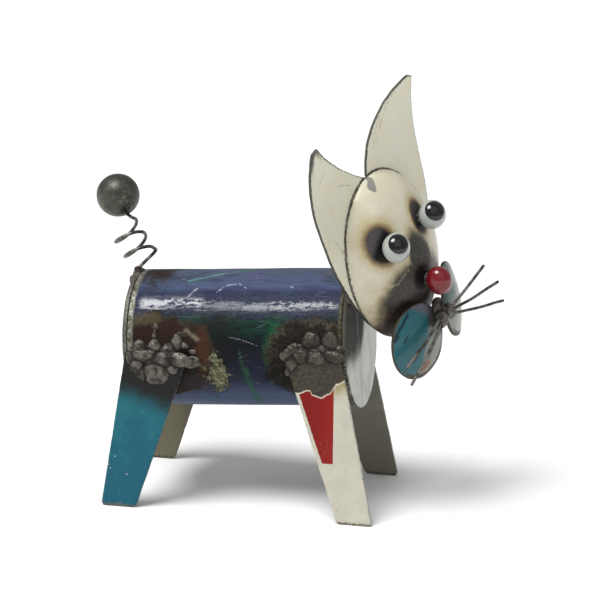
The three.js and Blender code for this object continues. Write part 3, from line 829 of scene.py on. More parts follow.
def wireTree():
    labels = ("Radius", "Kink", "KinkLength", "Step", "Seed")
    tree = Tree("bentWire", {**{label: ("NodeSocketFloat", 1.0) for label in labels},
                             "Sides": ("NodeSocketInt", 14), "Finish": ("NodeSocketMaterial", None)})
    line = tree.node("GeometryNodeResampleCurve", {"mode": "LENGTH"},
                     {"Curve": tree.given("Geometry"), "Length": tree.given("Step")})
    place = tree.node("GeometryNodeInputPosition")
    perMetre = tree.node("ShaderNodeMath", {"operation": "DIVIDE"}, {0: 1.0, 1: tree.given("KinkLength")})
    ripple = tree.node("ShaderNodeTexNoise", {"noise_dimensions": "4D"},
                       {"Vector": place, "W": tree.given("Seed"), "Scale": perMetre, "Detail": 1.0}, "Color")
    centred = tree.node("ShaderNodeVectorMath", {"operation": "SUBTRACT"}, {0: ripple, 1: (0.5, 0.5, 0.5)})
    sway = tree.node("ShaderNodeVectorMath", {"operation": "SCALE"}, {0: centred, "Scale": tree.given("Kink")})
    bent = tree.node("GeometryNodeSetPosition", None, {"Geometry": line, "Offset": sway})
    section = tree.node("GeometryNodeCurvePrimitiveCircle", None,
                        {"Resolution": tree.given("Sides"), "Radius": tree.given("Radius")})
    wire = tree.node("GeometryNodeCurveToMesh", None,
                     {"Curve": bent, "Profile Curve": section, "Fill Caps": True})
    tree.end(wire)
    return tree


def curveThrough(name, points, localFrame):
    toFrame = carry(localFrame)
    line = bpy.data.curves.new(name, "CURVE")
    line.dimensions = "3D"
    spline = line.splines.new("POLY")
    spline.points.add(len(points) - 1)
    for spot, point in zip(spline.points, points):
        spot.co = (*(toFrame @ Vector(point)), 1)
    return link(name, line)


# A line becomes wire: plan gives its radius, kinks and step, in mm
def makeWire(tree, name, points, localFrame, plan, seed, finish):
    made = curveThrough(f"{name}_wire", points, localFrame)
    return tree.apply(made, Radius=plan["radius"] * mm, Kink=plan["kink"] * mm, KinkLength=plan["kinkLength"] * mm,
                      Step=plan["step"] * mm, Seed=seed, Finish=finish)


# Whiskers: from roots in the weld under the nose, bowed a little forward
whiskers = {"radius": 0.56, "rootForward": 17.6, "rootAcross": 3.2, "rootDrop": 24.3, "rootPitch": 1.3, "bow": 1.2,
            "kink": 0.9, "kinkLength": 11, "step": 0.8,
            "left": [(20, 24.8, -18.2), (20, 30.5, -28.6), (20, 30.6, -36.9)],
            "right": [(17.5, -28.6, -28.2), (21, -28.2, -30.8), (20, -32.1, -33.2)]}


def whiskerPath(side, number):
    sign = 1 if side == "left" else -1
    root = Vector((whiskers["rootForward"], sign * whiskers["rootAcross"],
                   -whiskers["rootDrop"] - (number - 1) * whiskers["rootPitch"]))
    tip = Vector(whiskers[side][number])
    middle = (root + tip) / 2 + Vector((whiskers["bow"], 0, 0))
    return [root * (1 - t) ** 2 + middle * 2 * t * (1 - t) + tip * t * t for t in stepped(0, 1, 24)]


whiskerBeads = [((17.2, -2.6, -24.4), (2.3, 2.5, 3.1)), ((17.2, 2.6, -24.2), (2.3, 2.5, 3.1)),
                ((14.8, 0.4, -21.6), (2.6, 2.7, 3.9)), ((16.6, 0.2, -21.8), (1.3, 1.4, 2.8)),
                ((15.6, -1.6, -27.2), (1.9, 1.8, 1.7))]

# Tail: wire up from its foot, round the coil and in under the ball
tail = {"radius": 0.62, "kink": 0.3, "kinkLength": 6, "step": 0.5, "coil": 5.4, "turns": 2, "perTurn": 12,
        "foot": (-44.13, 0, 78.33), "lift": (0, 0, 2.8),
        "coilStart": (2.45, 0.15, 8.72), "coilEnd": (-5.62, 3.99, 18.39), "side": (0.785, 0.328, 0.525),
        "ball": (-8.7, 7.73, 29.52), "ballRadius": 8, "into": (0.476, -0.111, -0.872)}


# Places on the tail are measured from the wire's foot
def tailSpot(offset):
    return Vector(tail["foot"]) + Vector(offset)


def tailPath():
    start, end = tailSpot(tail["coilStart"]), tailSpot(tail["coilEnd"])
    axis = (end - start).normalized()
    right = Vector(tail["side"]).cross(axis).normalized()
    ahead = axis.cross(right)
    points = [tailSpot((0, 0, 0)), tailSpot(tail["lift"])]
    steps = tail["turns"] * tail["perTurn"]
    for step in range(-1, steps + 2):
        angle = 2 * math.pi * step / tail["perTurn"]
        centre = start.lerp(end, step / steps)
        points.append(centre + tail["coil"] * (ahead * math.cos(angle) + right * math.sin(angle)))
    points.append(tailSpot(tail["ball"]) + Vector(tail["into"]).normalized() * tail["ballRadius"])
    return [through(points, t) for t in stepped(0, 1, 260)]


def makeTailBall():
    centre = tailSpot(tail["ball"])
    bm = bmesh.new()
    bmesh.ops.create_icosphere(bm, subdivisions=5, radius=1)
    for vertex in bm.verts:
        vertex.co = centre + vertex.co * (tail["ballRadius"] + 0.05 * wobble(vertex.co, 0.5, 4))
    return keep(bm, "tail_ball_steel", catFrame, 80)


tailBeads = [((-44.2, -0.4, 77.8), (2.2, 2.4, 2)), ((-42.9, 0.4, 81), (2, 2.2, 2.3)),
             ((-42.4, -2.4, 80.4), (1.7, 1.8, 1.2)), ((-42.6, 2.9, 80.4), (1.6, 1.6, 1.2))]


def neckBeads():
    beads = []
    for angle, size in ((14, 5), (24, 3.9), (33, 4.2), (42, 3.5)):
        turn = math.radians(angle)
        spot = Vector((pipe["half"] + 2.8, -pipe["radius"] * math.sin(turn), pipe["radius"] * math.cos(turn)))
        beads.append((spot, (size * 0.9, size * 0.85, size * 0.9)))
    return beads


# Spatter: tiny balls of weld thrown round each weld, on a patch of the pipe that stops short of its rims.
# Each patch has its middle and half sizes along and round the pipe
spatter = {"density": 60000.0, "smallest": 0.15, "largest": 0.42, "cells": 16, "fromRim": 1.5,
           "patches": {"rear_right": ((-24, 40), (19, 17)), "front_right": ((30, 41), (17, 17)),
                       "rear_left": ((-26, 41), (16, 15)), "front_left": ((29, 42), (16, 15))}}


def spatterTree():
    tree = Tree("weldSpatter", {"Density": ("NodeSocketFloat", spatter["density"]),
                                "Smallest": ("NodeSocketFloat", spatter["smallest"] * mm),
                                "Largest": ("NodeSocketFloat", spatter["largest"] * mm),
                                "Seed": ("NodeSocketInt", 3),
                                "Finish": ("NodeSocketMaterial", None)})
    spots = tree.group.nodes.new("GeometryNodeDistributePointsOnFaces")
    tree.group.links.new(tree.given("Geometry"), spots.inputs["Mesh"])
    tree.group.links.new(tree.given("Density"), spots.inputs["Density"])
    tree.group.links.new(tree.given("Seed"), spots.inputs["Seed"])
    drop = tree.node("GeometryNodeMeshIcoSphere", None, {"Radius": 1.0, "Subdivisions": 2})
    size = tree.node("FunctionNodeRandomValue", {"data_type": "FLOAT"},
                     {2: tree.given("Smallest"), 3: tree.given("Largest"), "Seed": tree.given("Seed")}, 1)
    squash = tree.node("ShaderNodeCombineXYZ", None, {0: size, 1: size, 2: size})
    drops = tree.node("GeometryNodeInstanceOnPoints", None,
                      {"Points": spots.outputs["Points"], "Instance": drop, "Scale": squash})
    tree.end(drops)
    return tree


# A patch of the pipe's skin, an oval in mm along the pipe and round it from the top line
def pipePatch(name, middle, radii, side):
    bm = bmesh.new()
    rows = []
    edge = pipe["half"] - spatter["fromRim"]
    radius, cells = pipe["radius"], spatter["cells"]
    for u in stepped(-1, 1, cells):
        row = []
        for v in stepped(-1, 1, cells):
            along = max(-edge, min(edge, middle[0] + radii[0] * u * math.sqrt(1 - v * v / 2)))
            angle = (middle[1] + radii[1] * v * math.sqrt(1 - u * u / 2)) / radius
            row.append(bm.verts.new((along, side * radius * math.sin(angle), radius * math.cos(angle))))
        rows.append(row)
    for low, high in zip(rows, rows[1:]):
        bridge(bm, low, high, closed=False)
    return keep(bm, name, pipeFrame)


# Finishes. Places on the pipe are (along, round from the top line towards the cat's right), in mm
enamel = {"green": "1c6a3a", "strokeGreen": "1b4a2e", "darkGreen": "0d2f24", "paleGreen": "5c9283",
          "violet": "47476a", "dusk": "2c3348", "scratch": "a5a8ac", "soot": "15120f", "black": "0b0e10",
          "brown": "2c241c", "rust": "2b1914", "ochre": "4a4430", "orange": "4c2c19", "crust": "56563f",
          "fleck": "9c9c80", "smudge": "77705f", "heat": "302a2c", "bare": "8d8d84", "fringe": "5f5a46",
          "ash": "2a251d", "olive": "4f4d3a"}
# The enamel's tone at places round the pipe; the milky, lighter tones over the top are a painted sheen
toneAndSheenRounds = [(-78, "262a3c"), (-44, "1c243c"), (-16, "3c4658"), (4, "485266"), (13, "46516f"), (16, "182240"),
                (24, "161f38"), (28, "0c1c1e"), (36, "080f16"), (42, "091020"), (50, "1a2238"), (57, "39445f"),
                (67, "4b586f"), (78, "2f384c")]
# Where the enamel still shines, and how much, as (from, to) along and round the pipe
glossBands = [((-37, -11), (15.8, 22.4), 0.95), ((-16, 4), (20, 23.4), 0.3), ((1, 14), (21, 24.2), 0.5),
              ((11, 39), (20.4, 23.2), 0.65), ((14, 39), (24.6, 27.6), 0.45)]
# Strokes of other paint: start, end, width, tone and share; then marks worn to the undercoat
strokes = [((-19.1, 9.5), (3, 0), 0.9, "paleGreen", 0.75), ((-4, 3.2), (12, -3), 1.2, "strokeGreen", 0.7),
           ((2.2, 38), (3, 45), 0.9, "strokeGreen", 0.7), ((3.4, 45), (6, 62), 2.0, "strokeGreen", 0.9),
           ((-11.7, 60.8), (4, 60.4), 0.8, "strokeGreen", 0.8), ((12, 27.8), (17.5, 28.8), 0.9, "green", 0.35),
           ((-28, 14), (-12, 8), 0.7, "strokeGreen", 0.4)]
wornMarks = [((-17.8, 17.4), (-15.2, 13.6), 0.5), ((-7.4, 15.4), (-4.6, 12.4), 0.5), ((-5, 12.4), (0, 11.4), 0.42),
             ((0, 11.4), (3, 13.8), 0.3), ((-1.4, 33.2), (1.6, 33.8), 0.5), ((1.4, 33.6), (9.6, 36.4), 0.16),
             ((19.6, 13.2), (20.2, 13.5), 0.4), ((-22, 8), (-21.6, 8.2), 0.35)]
# Scorched ground: side, end, middle, half sizes and how hairy its edge is
scorches = [(1, "rear", (-25, 41), (18, 16), 0.3), (1, "front", (29.5, 43), (18.5, 17), 1),
            (-1, "rear", (-27, 42), (17, 15), 0.3), (-1, "front", (29, 43), (17, 17), 1)]
# Heat colours: middle, half sizes, softness, share and tone
heatSpots = [((-29, 30.6), (9, 4.4), 0.5, 0.8, "rust"), ((-19, 33), (5, 4), 0.6, 0.7, "rust"),
             ((-33, 26.6), (5.5, 2), 0.5, 0.8, "ochre"), ((-11.4, 40), (2.4, 8), 0.7, 0.75, "orange"),
             ((-14, 52), (6.5, 4.5), 0.5, 0.75, "heat"), ((-33, 2), (7, 9), 0.5, 0.85, "brown"),
             ((-31, 4), (3.4, 3.4), 0.5, 0.7, "rust"), ((36, -2), (6, 9), 0.6, 0.45, "olive")]


def navyEnamel():
    b = Bench("navyEnamel")
    p = b.place(pipeFrame)
    x, y, z = b.parts(p)
    turn = b.angle(-y, z) * pipe["radius"]
    flat = b.join(x, turn, 0)
    coarse = b.noise(p, 6, 4)
    fine = b.noise(p, 1.4, 4, 0.65)
    streak = b.noise(b.stretch(p, (0.16, 1, 1)), 1.2, 3)
    cloud = b.noise(b.stretch(p, (0.4, 1, 1)), 5, 4)
    spread = toneAndSheenRounds[-1][0] - toneAndSheenRounds[0][0]
    stops = [((spot - toneAndSheenRounds[0][0]) / spread, tint(tone)) for spot, tone in toneAndSheenRounds]
    color = b.node("ShaderNodeValToRGB", {"stops": stops},
                   [(turn + cloud.sway(7) - toneAndSheenRounds[0][0]) / spread])
    # a painted violet sheen over the top of the pipe, towards its front
    violetSheen = b.ease(cloud, 0.42, 0.66) * b.ease(x, -22, 8) * b.ease(abs(turn), 20, 8)
    color = b.mix(violetSheen * 0.7, color, enamel["violet"])
    dusk = b.ease(cloud + streak.sway(0.4), 0.5, 0.3) * b.ease(abs(turn), 24, 12)
    color = b.mix(dusk * 0.7, color, enamel["dusk"])
    color = b.mix(b.ease(streak, 0.5, 0.7) * 0.3, color, enamel["black"])

    # green smears dragged along the pipe
    band = b.ease(turn, 23, 26) * b.ease(turn + coarse.sway(12), 36, 30) * b.ease(x, -34, -28) * b.ease(x, 24, 16)
    color = b.mix(band * b.ease(streak, 0.42, 0.58) * 0.9, color, enamel["darkGreen"])
    patch = b.blot(flat, (15, 40.5, 0), (3.4, 9, 1), 0.5, coarse.sway(1.6))
    color = b.mix(patch * b.ease(fine, 0.3, 0.6) * 0.85, color, enamel["green"])
    wander = coarse.sway(2.6)
    for start, end, width, paint, share in strokes:
        near = b.nearLine(x + wander, turn + wander, start, end)
        mask = b.ease(near + fine.sway(3.2) + streak.sway(2), width, width * -0.2)
        color = b.mix(mask * share, color, enamel[paint])

    # scratches and dabs through to the light undercoat
    shaken = fine.sway(1.8)
    worn = reduce(Wire.most, [b.ease(b.nearLine(x + shaken, turn + shaken, start, end), width, width * 0.4)
                              * b.ease(fine, 0.42, 0.56) for start, end, width in wornMarks])
    hair = b.cells(b.stretch(p, (0.12, 1, 1)), 3.2, "DISTANCE_TO_EDGE")
    worn = worn.most(b.ease(hair, 0.014, 0.005) * b.ease(coarse, 0.54, 0.64) * 0.3)
    color = b.mix(worn * 0.85, color, enamel["scratch"])

    # scorched ground round the welds; round the front ones fine fibres run out to a pale fringe
    black = b.blot(flat, (-7, 36, 0), (9.5, 11, 1), 0.6, coarse.sway(1.6))
    color = b.mix(black * 0.85, color, enamel["black"])
    burnt = black * 0.4
    for sign, end, centre, radii, hairy in scorches:
        dx, dy = (x - centre[0]) / radii[0], (turn * sign - centre[1]) / radii[1]
        reach = (dx * dx + dy * dy) ** 0.5
        angle = b.angle(dy, dx)
        fibre = b.noise(b.join(angle * 34, reach * 5, sign), 1, 4, 0.7)
        edge = reach + fibre.sway(0.3) * hairy + coarse.sway(0.7) + fine.sway(0.2)
        inside = b.ease(edge, 1.06, 0.93)
        ground = b.mix(b.ease(fibre.sway(0.4 * hairy) + fine + cloud.sway(0.8), 0.34, 0.66), enamel["soot"],
                       enamel["ash" if end == "front" else "brown"])
        fringe = b.ease(edge + coarse.sway(0.3), 0.84, 1.04) * b.ease(fibre, 0.25, 0.65) * (0.9 * hairy)
        ground = b.mix(fringe * b.ease(turn * sign, 46, 32), ground, enamel["fringe"])
        ground = b.mix(b.ease(edge, 0.84, 0.55) * 0.7, ground, enamel["soot"])
        color = b.mix(inside, color, ground)
        burnt = burnt.most(inside)

    # the rear weld's own colours: rust and ochre above, an orange band, a grey smudge and a ragged crust
    grain = fine.sway(2.4) + coarse.sway(1.6)
    for centre, radii, soft, share, tone in heatSpots:
        spot = b.blot(flat, (*centre, 0), (*radii, 1), soft, grain)
        color = b.mix(spot * share, color, enamel[tone])
    smudge = b.ease(b.nearLine(x, turn, (-17.6, 30.8), (-13.2, 34)) + fine.sway(3), 1.5, -0.3)
    color = b.mix(smudge * 0.75, color, enamel["smudge"])
    crust = b.blot(flat, (-6.8, 47.6, 0), (3.9, 6.6, 1), 0.25, grain * 1.7)
    brush = b.noise(b.stretch(b.join(x + turn * 0.6, turn - x * 0.6, 0), (0.35, 1, 1)), 0.9, 3, 0.7)
    color = b.mix(crust, color, b.mix(b.ease(brush, 0.48, 0.66), enamel["crust"], enamel["fleck"]))
    tailSoot = b.blot(flat, (-33, 2, 0), (7, 9, 1), 0.5, grain)
    burnt = burnt.most(tailSoot).most(crust)

    # bare rims
    rearBare = b.ease(x + fine.sway(2.8), -37.2, -38.2)
    frontBare = b.ease(x + fine.sway(2), 37.8, 38.8)
    color = b.mix(rearBare, color, b.mix(b.ease(fine, 0.35, 0.6), enamel["olive"], enamel["bare"]))
    color = b.mix(frontBare, color, b.mix(b.ease(fine, 0.45, 0.65), enamel["olive"], enamel["brown"]))
    inner = b.ease((y * y + z * z) ** 0.5, pipe["radius"] - 0.4, pipe["radius"] - 0.8)
    color = b.mix(inner, color, enamel["ash"])
    bareMetal = (worn * 0.3).most(rearBare * 0.6).most(inner * 0.6)

    # the enamel has crinkled where it ran thick, along the shoulder of the pipe, and shines in broken streaks
    crinkle = b.noise(b.stretch(p, (0.5, 1, 1)), 0.9, 4, 0.7, 0.6)
    level = turn + crinkle.sway(5) + cloud.sway(3)
    shine = reduce(Wire.most, [b.ease(x, low, low + 3) * b.ease(x, high, high - 3)
                               * b.ease(level, top - 0.6, top + 0.8) * b.ease(level, foot + 0.9, foot - 0.7) * share
                               for (low, high), (top, foot), share in glossBands])
    shine = shine * b.ease(crinkle + streak.sway(0.9), 0.38, 0.5) * (1 - tailSoot)
    shoulder = b.ease(turn, 14, 18) * b.ease(turn, 31, 25)
    height = coarse * 0.3 + crinkle * (0.04 + shoulder * 0.45) + burnt * fine * 1.4 + crust * 1.1 + smudge * 0.6
    rough = 0.42 + fine * 0.1 + burnt * 0.25 - shoulder * 0.12
    return b.finish(color=color, roughness=rough, metal=(burnt * 0.12).most(bareMetal), gloss=0.15,
                    normal=b.bump(height, 0.5), coat=shine, coatRoughness=0.16)


# The front disc has the head's shadow painted on it, dark under the head, and has a soft upright crease
def wornAndShadedDisc(name, tone, dark, seed, headShade=0):
    b = Bench(name)
    p = b.place(pipeFrame)
    y, z = b.parts(p)[1:]
    rim = b.stored("rim")
    coarse = b.noise(b.shift(p, (seed, seed, 0)), 8, 4)
    brushed = b.noise(b.stretch(p, (1, 0.8, 0.25)), 1.8, 4, 0.7)
    fine = b.noise(p, 0.7, 3, 0.7)
    color = b.mix(b.ease(coarse, 0.35, 0.68) * 0.7, tone, dark)
    color = b.mix(b.ease(brushed, 0.5, 0.72) * 0.35, color, "72726b")
    # the head's shadow, painted as a near-black patch over the upper near part of the disc, which is also rougher and
    # less metallic there
    lean = y + coarse.sway(5) - z * 0.68
    soot = b.ease(lean, 5, -1) * b.ease(z + coarse.sway(6), -8, 0) * headShade
    color = b.mix(soot * 0.93, color, b.mix(b.ease(fine, 0.4, 0.65), "070605", "15140f"))
    crease = b.ease(abs(y + 5 + coarse.sway(3)), 2.6, 0.4) * headShade
    color = b.mix(crease * 0.35, color, "8a8981")
    color = b.mix(b.ease(rim + fine.sway(1.6), 0.9, 0.3), color, "4e4a42")
    return b.finish(color=color, roughness=0.34 + brushed * 0.25 + soot * 0.2, metal=0.45 - soot * 0.45, gloss=0.1,
                    normal=b.bump(brushed * 0.4 + coarse - crease * 0.5, 0.35))


# Leg paints, each with its own burn at the top and chips along the cut edges
legPaints = {"rear_right": {"paint": "135769", "shade": "1a6670", "burn": "191b1c", "heat": "24211f",
                            "edge": "a5a194", "burnFrom": 33, "burnTo": 44, "burnSlope": 0.35},
             "rear_left": {"paint": "88846c", "shade": "949078", "burn": "3a352c", "heat": "4a4438",
                           "edge": "5a5140", "burnFrom": 44, "burnTo": 52, "burnSlope": -0.2},
             "front_left": {"paint": "969485", "shade": "a6a494", "burn": "35322c", "heat": "45413a",
                            "edge": "9a9788", "burnFrom": 48, "burnTo": 56, "burnSlope": -0.2}}


# 1 on a leg's outer side, 0 on its inner one
def legOutside(b, leg, y, z):
    return b.ease(y * leg["side"] + z * math.tan(legPlan["lean"]) - legInner(leg, 0), 0.5, 0.8)


def legPaint(name, plan, leg, seed):
    b = Bench(f"{name}_paint")
    p = b.place(catFrame)
    x, y, z = b.parts(p)
    rim = b.stored("rim")
    coarse = b.noise(b.shift(p, (seed * 11, 0, 0)), 7, 4)
    fine = b.noise(b.shift(p, (0, seed * 5, 0)), 1.1, 4, 0.65)
    grit = b.noise(p, 0.45, 2, 0.6)
    color = b.mix(b.ease(coarse + (z - 30) * 0.012, 0.35, 0.7), plan["paint"], plan["shade"])
    specks = b.ease(b.cells(b.shift(p, (seed, 0, seed)), 5.5), 0.07, 0.04)
    color = b.mix(specks * 0.8, color, "b9c3bd")
    scuffs = b.ease(b.noise(b.stretch(p, (2.2, 1, 0.4)), 1.5, 4, 0.7), 0.66, 0.74)
    color = b.mix(scuffs * 0.25, color, "9aa39c")
    level = z + (x - leg["at"] - leg["shift"]) * plan["burnSlope"] + coarse.sway(9) + fine.sway(2)
    burn = b.ease(level, plan["burnFrom"], plan["burnTo"])
    color = b.mix(burn, color, b.mix(b.ease(fine, 0.4, 0.65), plan["burn"], plan["heat"]))
    color = b.mix((1 - legOutside(b, leg, y, z)) * 0.5, color, plan["burn"])
    chips = b.ease(rim + fine.sway(2.1) + grit.sway(0.5), 0.55, 0.3)
    foot = b.ease(z + fine.sway(3.4), 1.3, 0.5)
    chips = chips.most(foot)
    bareTone = b.mix(b.ease(grit, 0.4, 0.6), plan["edge"], "6d675a")
    color = b.mix(chips, color, b.mix(foot * 0.7, bareTone, "4a4238"))
    rust = b.ease(b.cells(b.shift(p, (seed * 3, 2, 1)), 17), 0.15, 0.05) * b.ease(z, 30, 10)
    color = b.mix(rust * b.ease(fine, 0.35, 0.55) * (0.9 if name == "rear_left" else 0.35), color, "5a3420")
    height = coarse * 0.5 + fine * 0.12 - chips * 0.35 + burn * fine * 0.4
    return b.finish(color=color, roughness=0.3 + fine * 0.12 + burn * 0.2 + chips * 0.25, gloss=0.22,
                    metal=(chips * 0.5).most(burn * 0.1), normal=b.bump(height, 0.4))


# The front right leg is cream with a red wedge, burnt bare above a scalloped line
redLeg = {"cream": "bab7a9", "warm": "c3c0ae", "red": "780e0d", "redLight": "861511", "bare": "4d473d",
          "bareDark": "37322b", "scorch": "8a7c46", "line": "c4c1b0", "low": 44, "span": 12,
          "scallop": [(24, 47.2), (28.4, 48.6), (29.6, 47.0), (32.6, 46.2), (35.4, 47.6), (38.4, 51.4), (41.5, 52.8)],
          "wedgeLeft": (24.5, 47.1), "wedgeLean": 0.352, "wedgeRight": 37.3, "wedgeFoot": 22}


def creamLegPaint(leg):
    b = Bench("front_right_paint")
    p = b.place(catFrame)
    x, y, z = b.parts(p)
    rim = b.stored("rim")
    coarse = b.noise(p, 6, 4)
    fine = b.noise(p, 1, 4, 0.65)
    grit = b.noise(p, 0.42, 2, 0.6)
    left, right = redLeg["scallop"][0][0], redLeg["scallop"][-1][0]
    stops = [((sx - left) / (right - left), ((sz - redLeg["low"]) / redLeg["span"],) * 3 + (1,))
             for sx, sz in redLeg["scallop"]]
    share = (x - left) / (right - left)
    curve = b.node("ShaderNodeValToRGB", {"stops": stops}, [share])
    curve.socket.node.color_ramp.interpolation = "EASE"
    scallop = curve * redLeg["span"] + redLeg["low"] + fine.sway(1.1)
    above = z - scallop
    color = b.mix(b.ease(coarse, 0.4, 0.7), redLeg["cream"], redLeg["warm"])
    dirt = b.ease(b.noise(b.stretch(p, (1.6, 1, 0.5)), 2.4, 4, 0.7), 0.55, 0.75)
    color = b.mix(dirt * 0.22, color, "9c9884")
    wedgeLeft = (redLeg["wedgeLeft"][1] - z) * redLeg["wedgeLean"] + redLeg["wedgeLeft"][0] + fine.sway(0.9)
    red = b.ease(x - wedgeLeft, -0.12, 0.12) * b.ease(x - redLeg["wedgeRight"], 0.1, -0.1)
    red = red * b.ease(z - redLeg["wedgeFoot"], -0.1, 0.1)
    redNicks = b.ease(b.noise(b.stretch(p, (2.4, 1, 0.7)), 0.9, 3, 0.7), 0.64, 0.68) * b.ease(z, 34, 24)
    color = b.mix(red * (1 - redNicks * 0.8), color, b.mix(b.ease(x, 29, 37), redLeg["red"], redLeg["redLight"]))
    scorch = b.ease(above, -7, -0.6) * b.ease(x, 36.4, 38.4)
    color = b.mix(scorch * 0.8, color, redLeg["scorch"])
    outline = b.ease(above, -0.75, -0.45) * b.ease(above, 0.1, -0.12)
    color = b.mix(outline * 0.85, color, redLeg["line"])
    bare = b.ease(above, -0.1, 0.15)
    bareTone = b.mix(b.ease(fine, 0.35, 0.68), redLeg["bareDark"], redLeg["bare"])
    bareTone = b.mix(b.ease(z, 57, 61.5), bareTone, "3b352e")
    color = b.mix(bare, color, bareTone)
    color = b.mix((1 - legOutside(b, leg, y, z)) * 0.5, color, "6b6658")
    chips = b.ease(rim + fine.sway(1.9) + grit.sway(0.5), 0.5, 0.28)
    foot = b.ease(z + fine.sway(3), 1.2, 0.5)
    pits = b.ease(b.cells(p, 4.2), 0.075, 0.045) * b.ease(z, 14, 3)
    chips = chips.most(foot).most(pits)
    color = b.mix(chips, color, b.mix(b.ease(grit, 0.4, 0.6), "5b5446", "8f8a78"))
    height = coarse * 0.4 + fine * 0.12 - bare * 0.4 + bare * fine * 0.5 - chips * 0.3
    return b.finish(color=color, roughness=0.3 + fine * 0.1 + bare * 0.15 + chips * 0.25, gloss=0.22,
                    metal=(bare * 0.25).most(chips * 0.5), normal=b.bump(height, 0.4))


# Weld metal: its light, dark and rusty tones, and how much of it is rusty
weldTones = {"rear": ("66635a", "2c2822", "2b2119", 0.45), "front": ("4f4a42", "2e2a24", "2b2119", 0.4),
             "scorched": ("3a3632", "15120f", "3a2418", 0.4), "whisker": ("77736a", "3a3732", "4c3224", 0.35),
             "tail": ("5d5348", "2c2520", "5a3320", 0.8)}


def weldMetal(name, localFrame):
    light, dark, rust, rustShare = weldTones[name]
    b = Bench(f"{name}WeldMetal")
    p = b.place(localFrame)
    seam = b.stored("seam")
    coarse = b.noise(p, 3.2, 4)
    fine = b.noise(p, 0.7, 4, 0.7)
    pits = b.ease(b.cells(b.shift(p, (4, 2, 7)), 2.6), 0.14, 0.05)
    color = b.mix(b.ease(coarse, 0.36, 0.62), dark, light)
    color = b.mix(b.ease(fine, 0.52, 0.7) * b.ease(coarse, 0.4, 0.6) * 0.4, color, "9a968a")
    color = b.mix(b.ease(b.noise(b.shift(p, (9, 9, 9)), 3.4, 3), 0.54, 0.68) * rustShare, color, rust)
    # the seams between beads are painted near black as shade; the pits are dark too
    gap = (pits * 0.7).most(b.ease(seam + coarse.sway(2.4) + fine.sway(0.5), 0.2, 0.8) * 0.92)
    color = b.mix(gap, color, "14100c")
    rough = 0.36 + fine * 0.14 + gap * 0.2
    return b.finish(color=color, roughness=rough, metal=0.4, gloss=0.4,
                    normal=b.bump(fine * 0.2 + coarse * 0.6 - pits * 0.4, 0.35))


# Head finishes. Places on the face are (0, towards the left ear, up)
creams = {"plate": "dbdac9", "plateWarm": "dcd6bc", "edge": "55534c", "mark": "6d6b60",
          "face": "c8c2aa", "faceLight": "cfcbb7", "halo": "b09a5e", "brown": "5d4526", "ring": "40242a",
          "soot": "100d0b", "chin": "2c2212", "violet": "585459", "grey": "43413f", "greyDark": "2a2928",
          "sheen": "75726f", "line": "a9a07e", "notch": "84837d"}
plateScratches = [((6, 38), (13, 49)), ((9, 40), (19, 52)), ((13, 46), (25, 55)), ((17, 50), (29, 55.5)),
                  ((-27, 44), (-22, 50)), ((-10, 34), (-16, 37)), ((-26, 20), (-23, 14))]


def creamPlate():
    b = Bench("creamPlate")
    p = b.place(headFrame)
    x, across, up = b.parts(p)
    rim = b.stored("rim")
    coarse = b.noise(p, 9, 4)
    fine = b.noise(p, 1.1, 4, 0.65)
    flat = b.join(0, across, up)
    color = b.mix(b.ease(coarse, 0.35, 0.7), creams["plate"], creams["plateWarm"])
    smear = b.noise(b.stretch(p, (1, 1, 0.3)), 3, 4, 0.7)
    color = b.mix(b.ease(smear, 0.58, 0.75) * 0.2, color, "a6a493")
    specks = b.ease(b.cells(p, 4.6), 0.06, 0.03) * b.ease(coarse, 0.45, 0.6)
    color = b.mix(specks * 0.7, color, creams["mark"])
    swayed, shaken = across + coarse.sway(3), up + fine.sway(0.8)
    scratches = reduce(Wire.most, [b.ease(b.nearLine(swayed, shaken, start, end), 0.3, 0.12) * b.ease(fine, 0.4, 0.55)
                                   for start, end in plateScratches])
    color = b.mix(scratches * 0.45, color, creams["mark"])
    tipWear = b.ease(rim + fine.sway(2.4), 2.4, 0.9) * b.ease(across, -24, -31) * b.ease(up, 46, 56)
    edge = b.ease(rim + fine.sway(0.7), 0.75, 0.5).most(tipWear)
    oval = b.length(b.stretch(flat, (0, 1 / face["halfWidth"], 1 / face["halfHeight"])))
    seam = b.ease(abs(oval - 1.008 + fine.sway(0.05)), 0.014, 0.004)
    soot = b.ease(oval, 1.12, 1.0) * b.ease(up, -8, -20) * b.ease(coarse, 0.3, 0.6)
    color = b.mix(soot * 0.8, color, creams["brown"])
    color = b.mix(seam * b.ease(x, -0.9, -0.6), color, "2a2723")
    chin = b.blot(flat, (0, -9, -26), (1, 14, 7), 0.5, fine.sway(0.8))
    color = b.mix(chin, color, creams["soot"])
    back = b.ease(x, -0.9, -1.2) * b.ease(up, 34, 31)
    color = b.mix(edge, color, creams["edge"])
    neck = b.blot(flat, (0, -4, -14), (1, 16, 10), 0.5, coarse.sway(1.2)) * back
    color = b.mix(neck * 0.9, color, creams["grey"])
    return b.finish(color=color, roughness=0.3 + fine * 0.12 + edge * 0.15, metal=edge * 0.5, gloss=0.25,
                    normal=b.bump(coarse * 0.7 + fine * 0.1 - scratches * 0.2, 0.4))


# Scorched spots on the face, (across, up): how far the heat spreads, and how violet the upper side is. The last two,
# at the chin and round the nose, are burn with painted shade in them: the shade of the chin, which faces down, and
# the nose's shadow
faceSpots = [{"middle": (-13.2, 11.7), "radii": (4.9, 6.4), "spread": 1.55, "violet": 1},
             {"middle": (8.6, 10.9), "radii": (4.2, 5.7), "spread": 1.45, "violet": 0.5},
             {"middle": (-5.5, -22), "radii": (13.5, 10.5), "spread": 1.32, "violet": 0},
             {"middle": (-1.8, -7.8), "radii": (4.6, 5), "spread": 1.2, "violet": 0}]
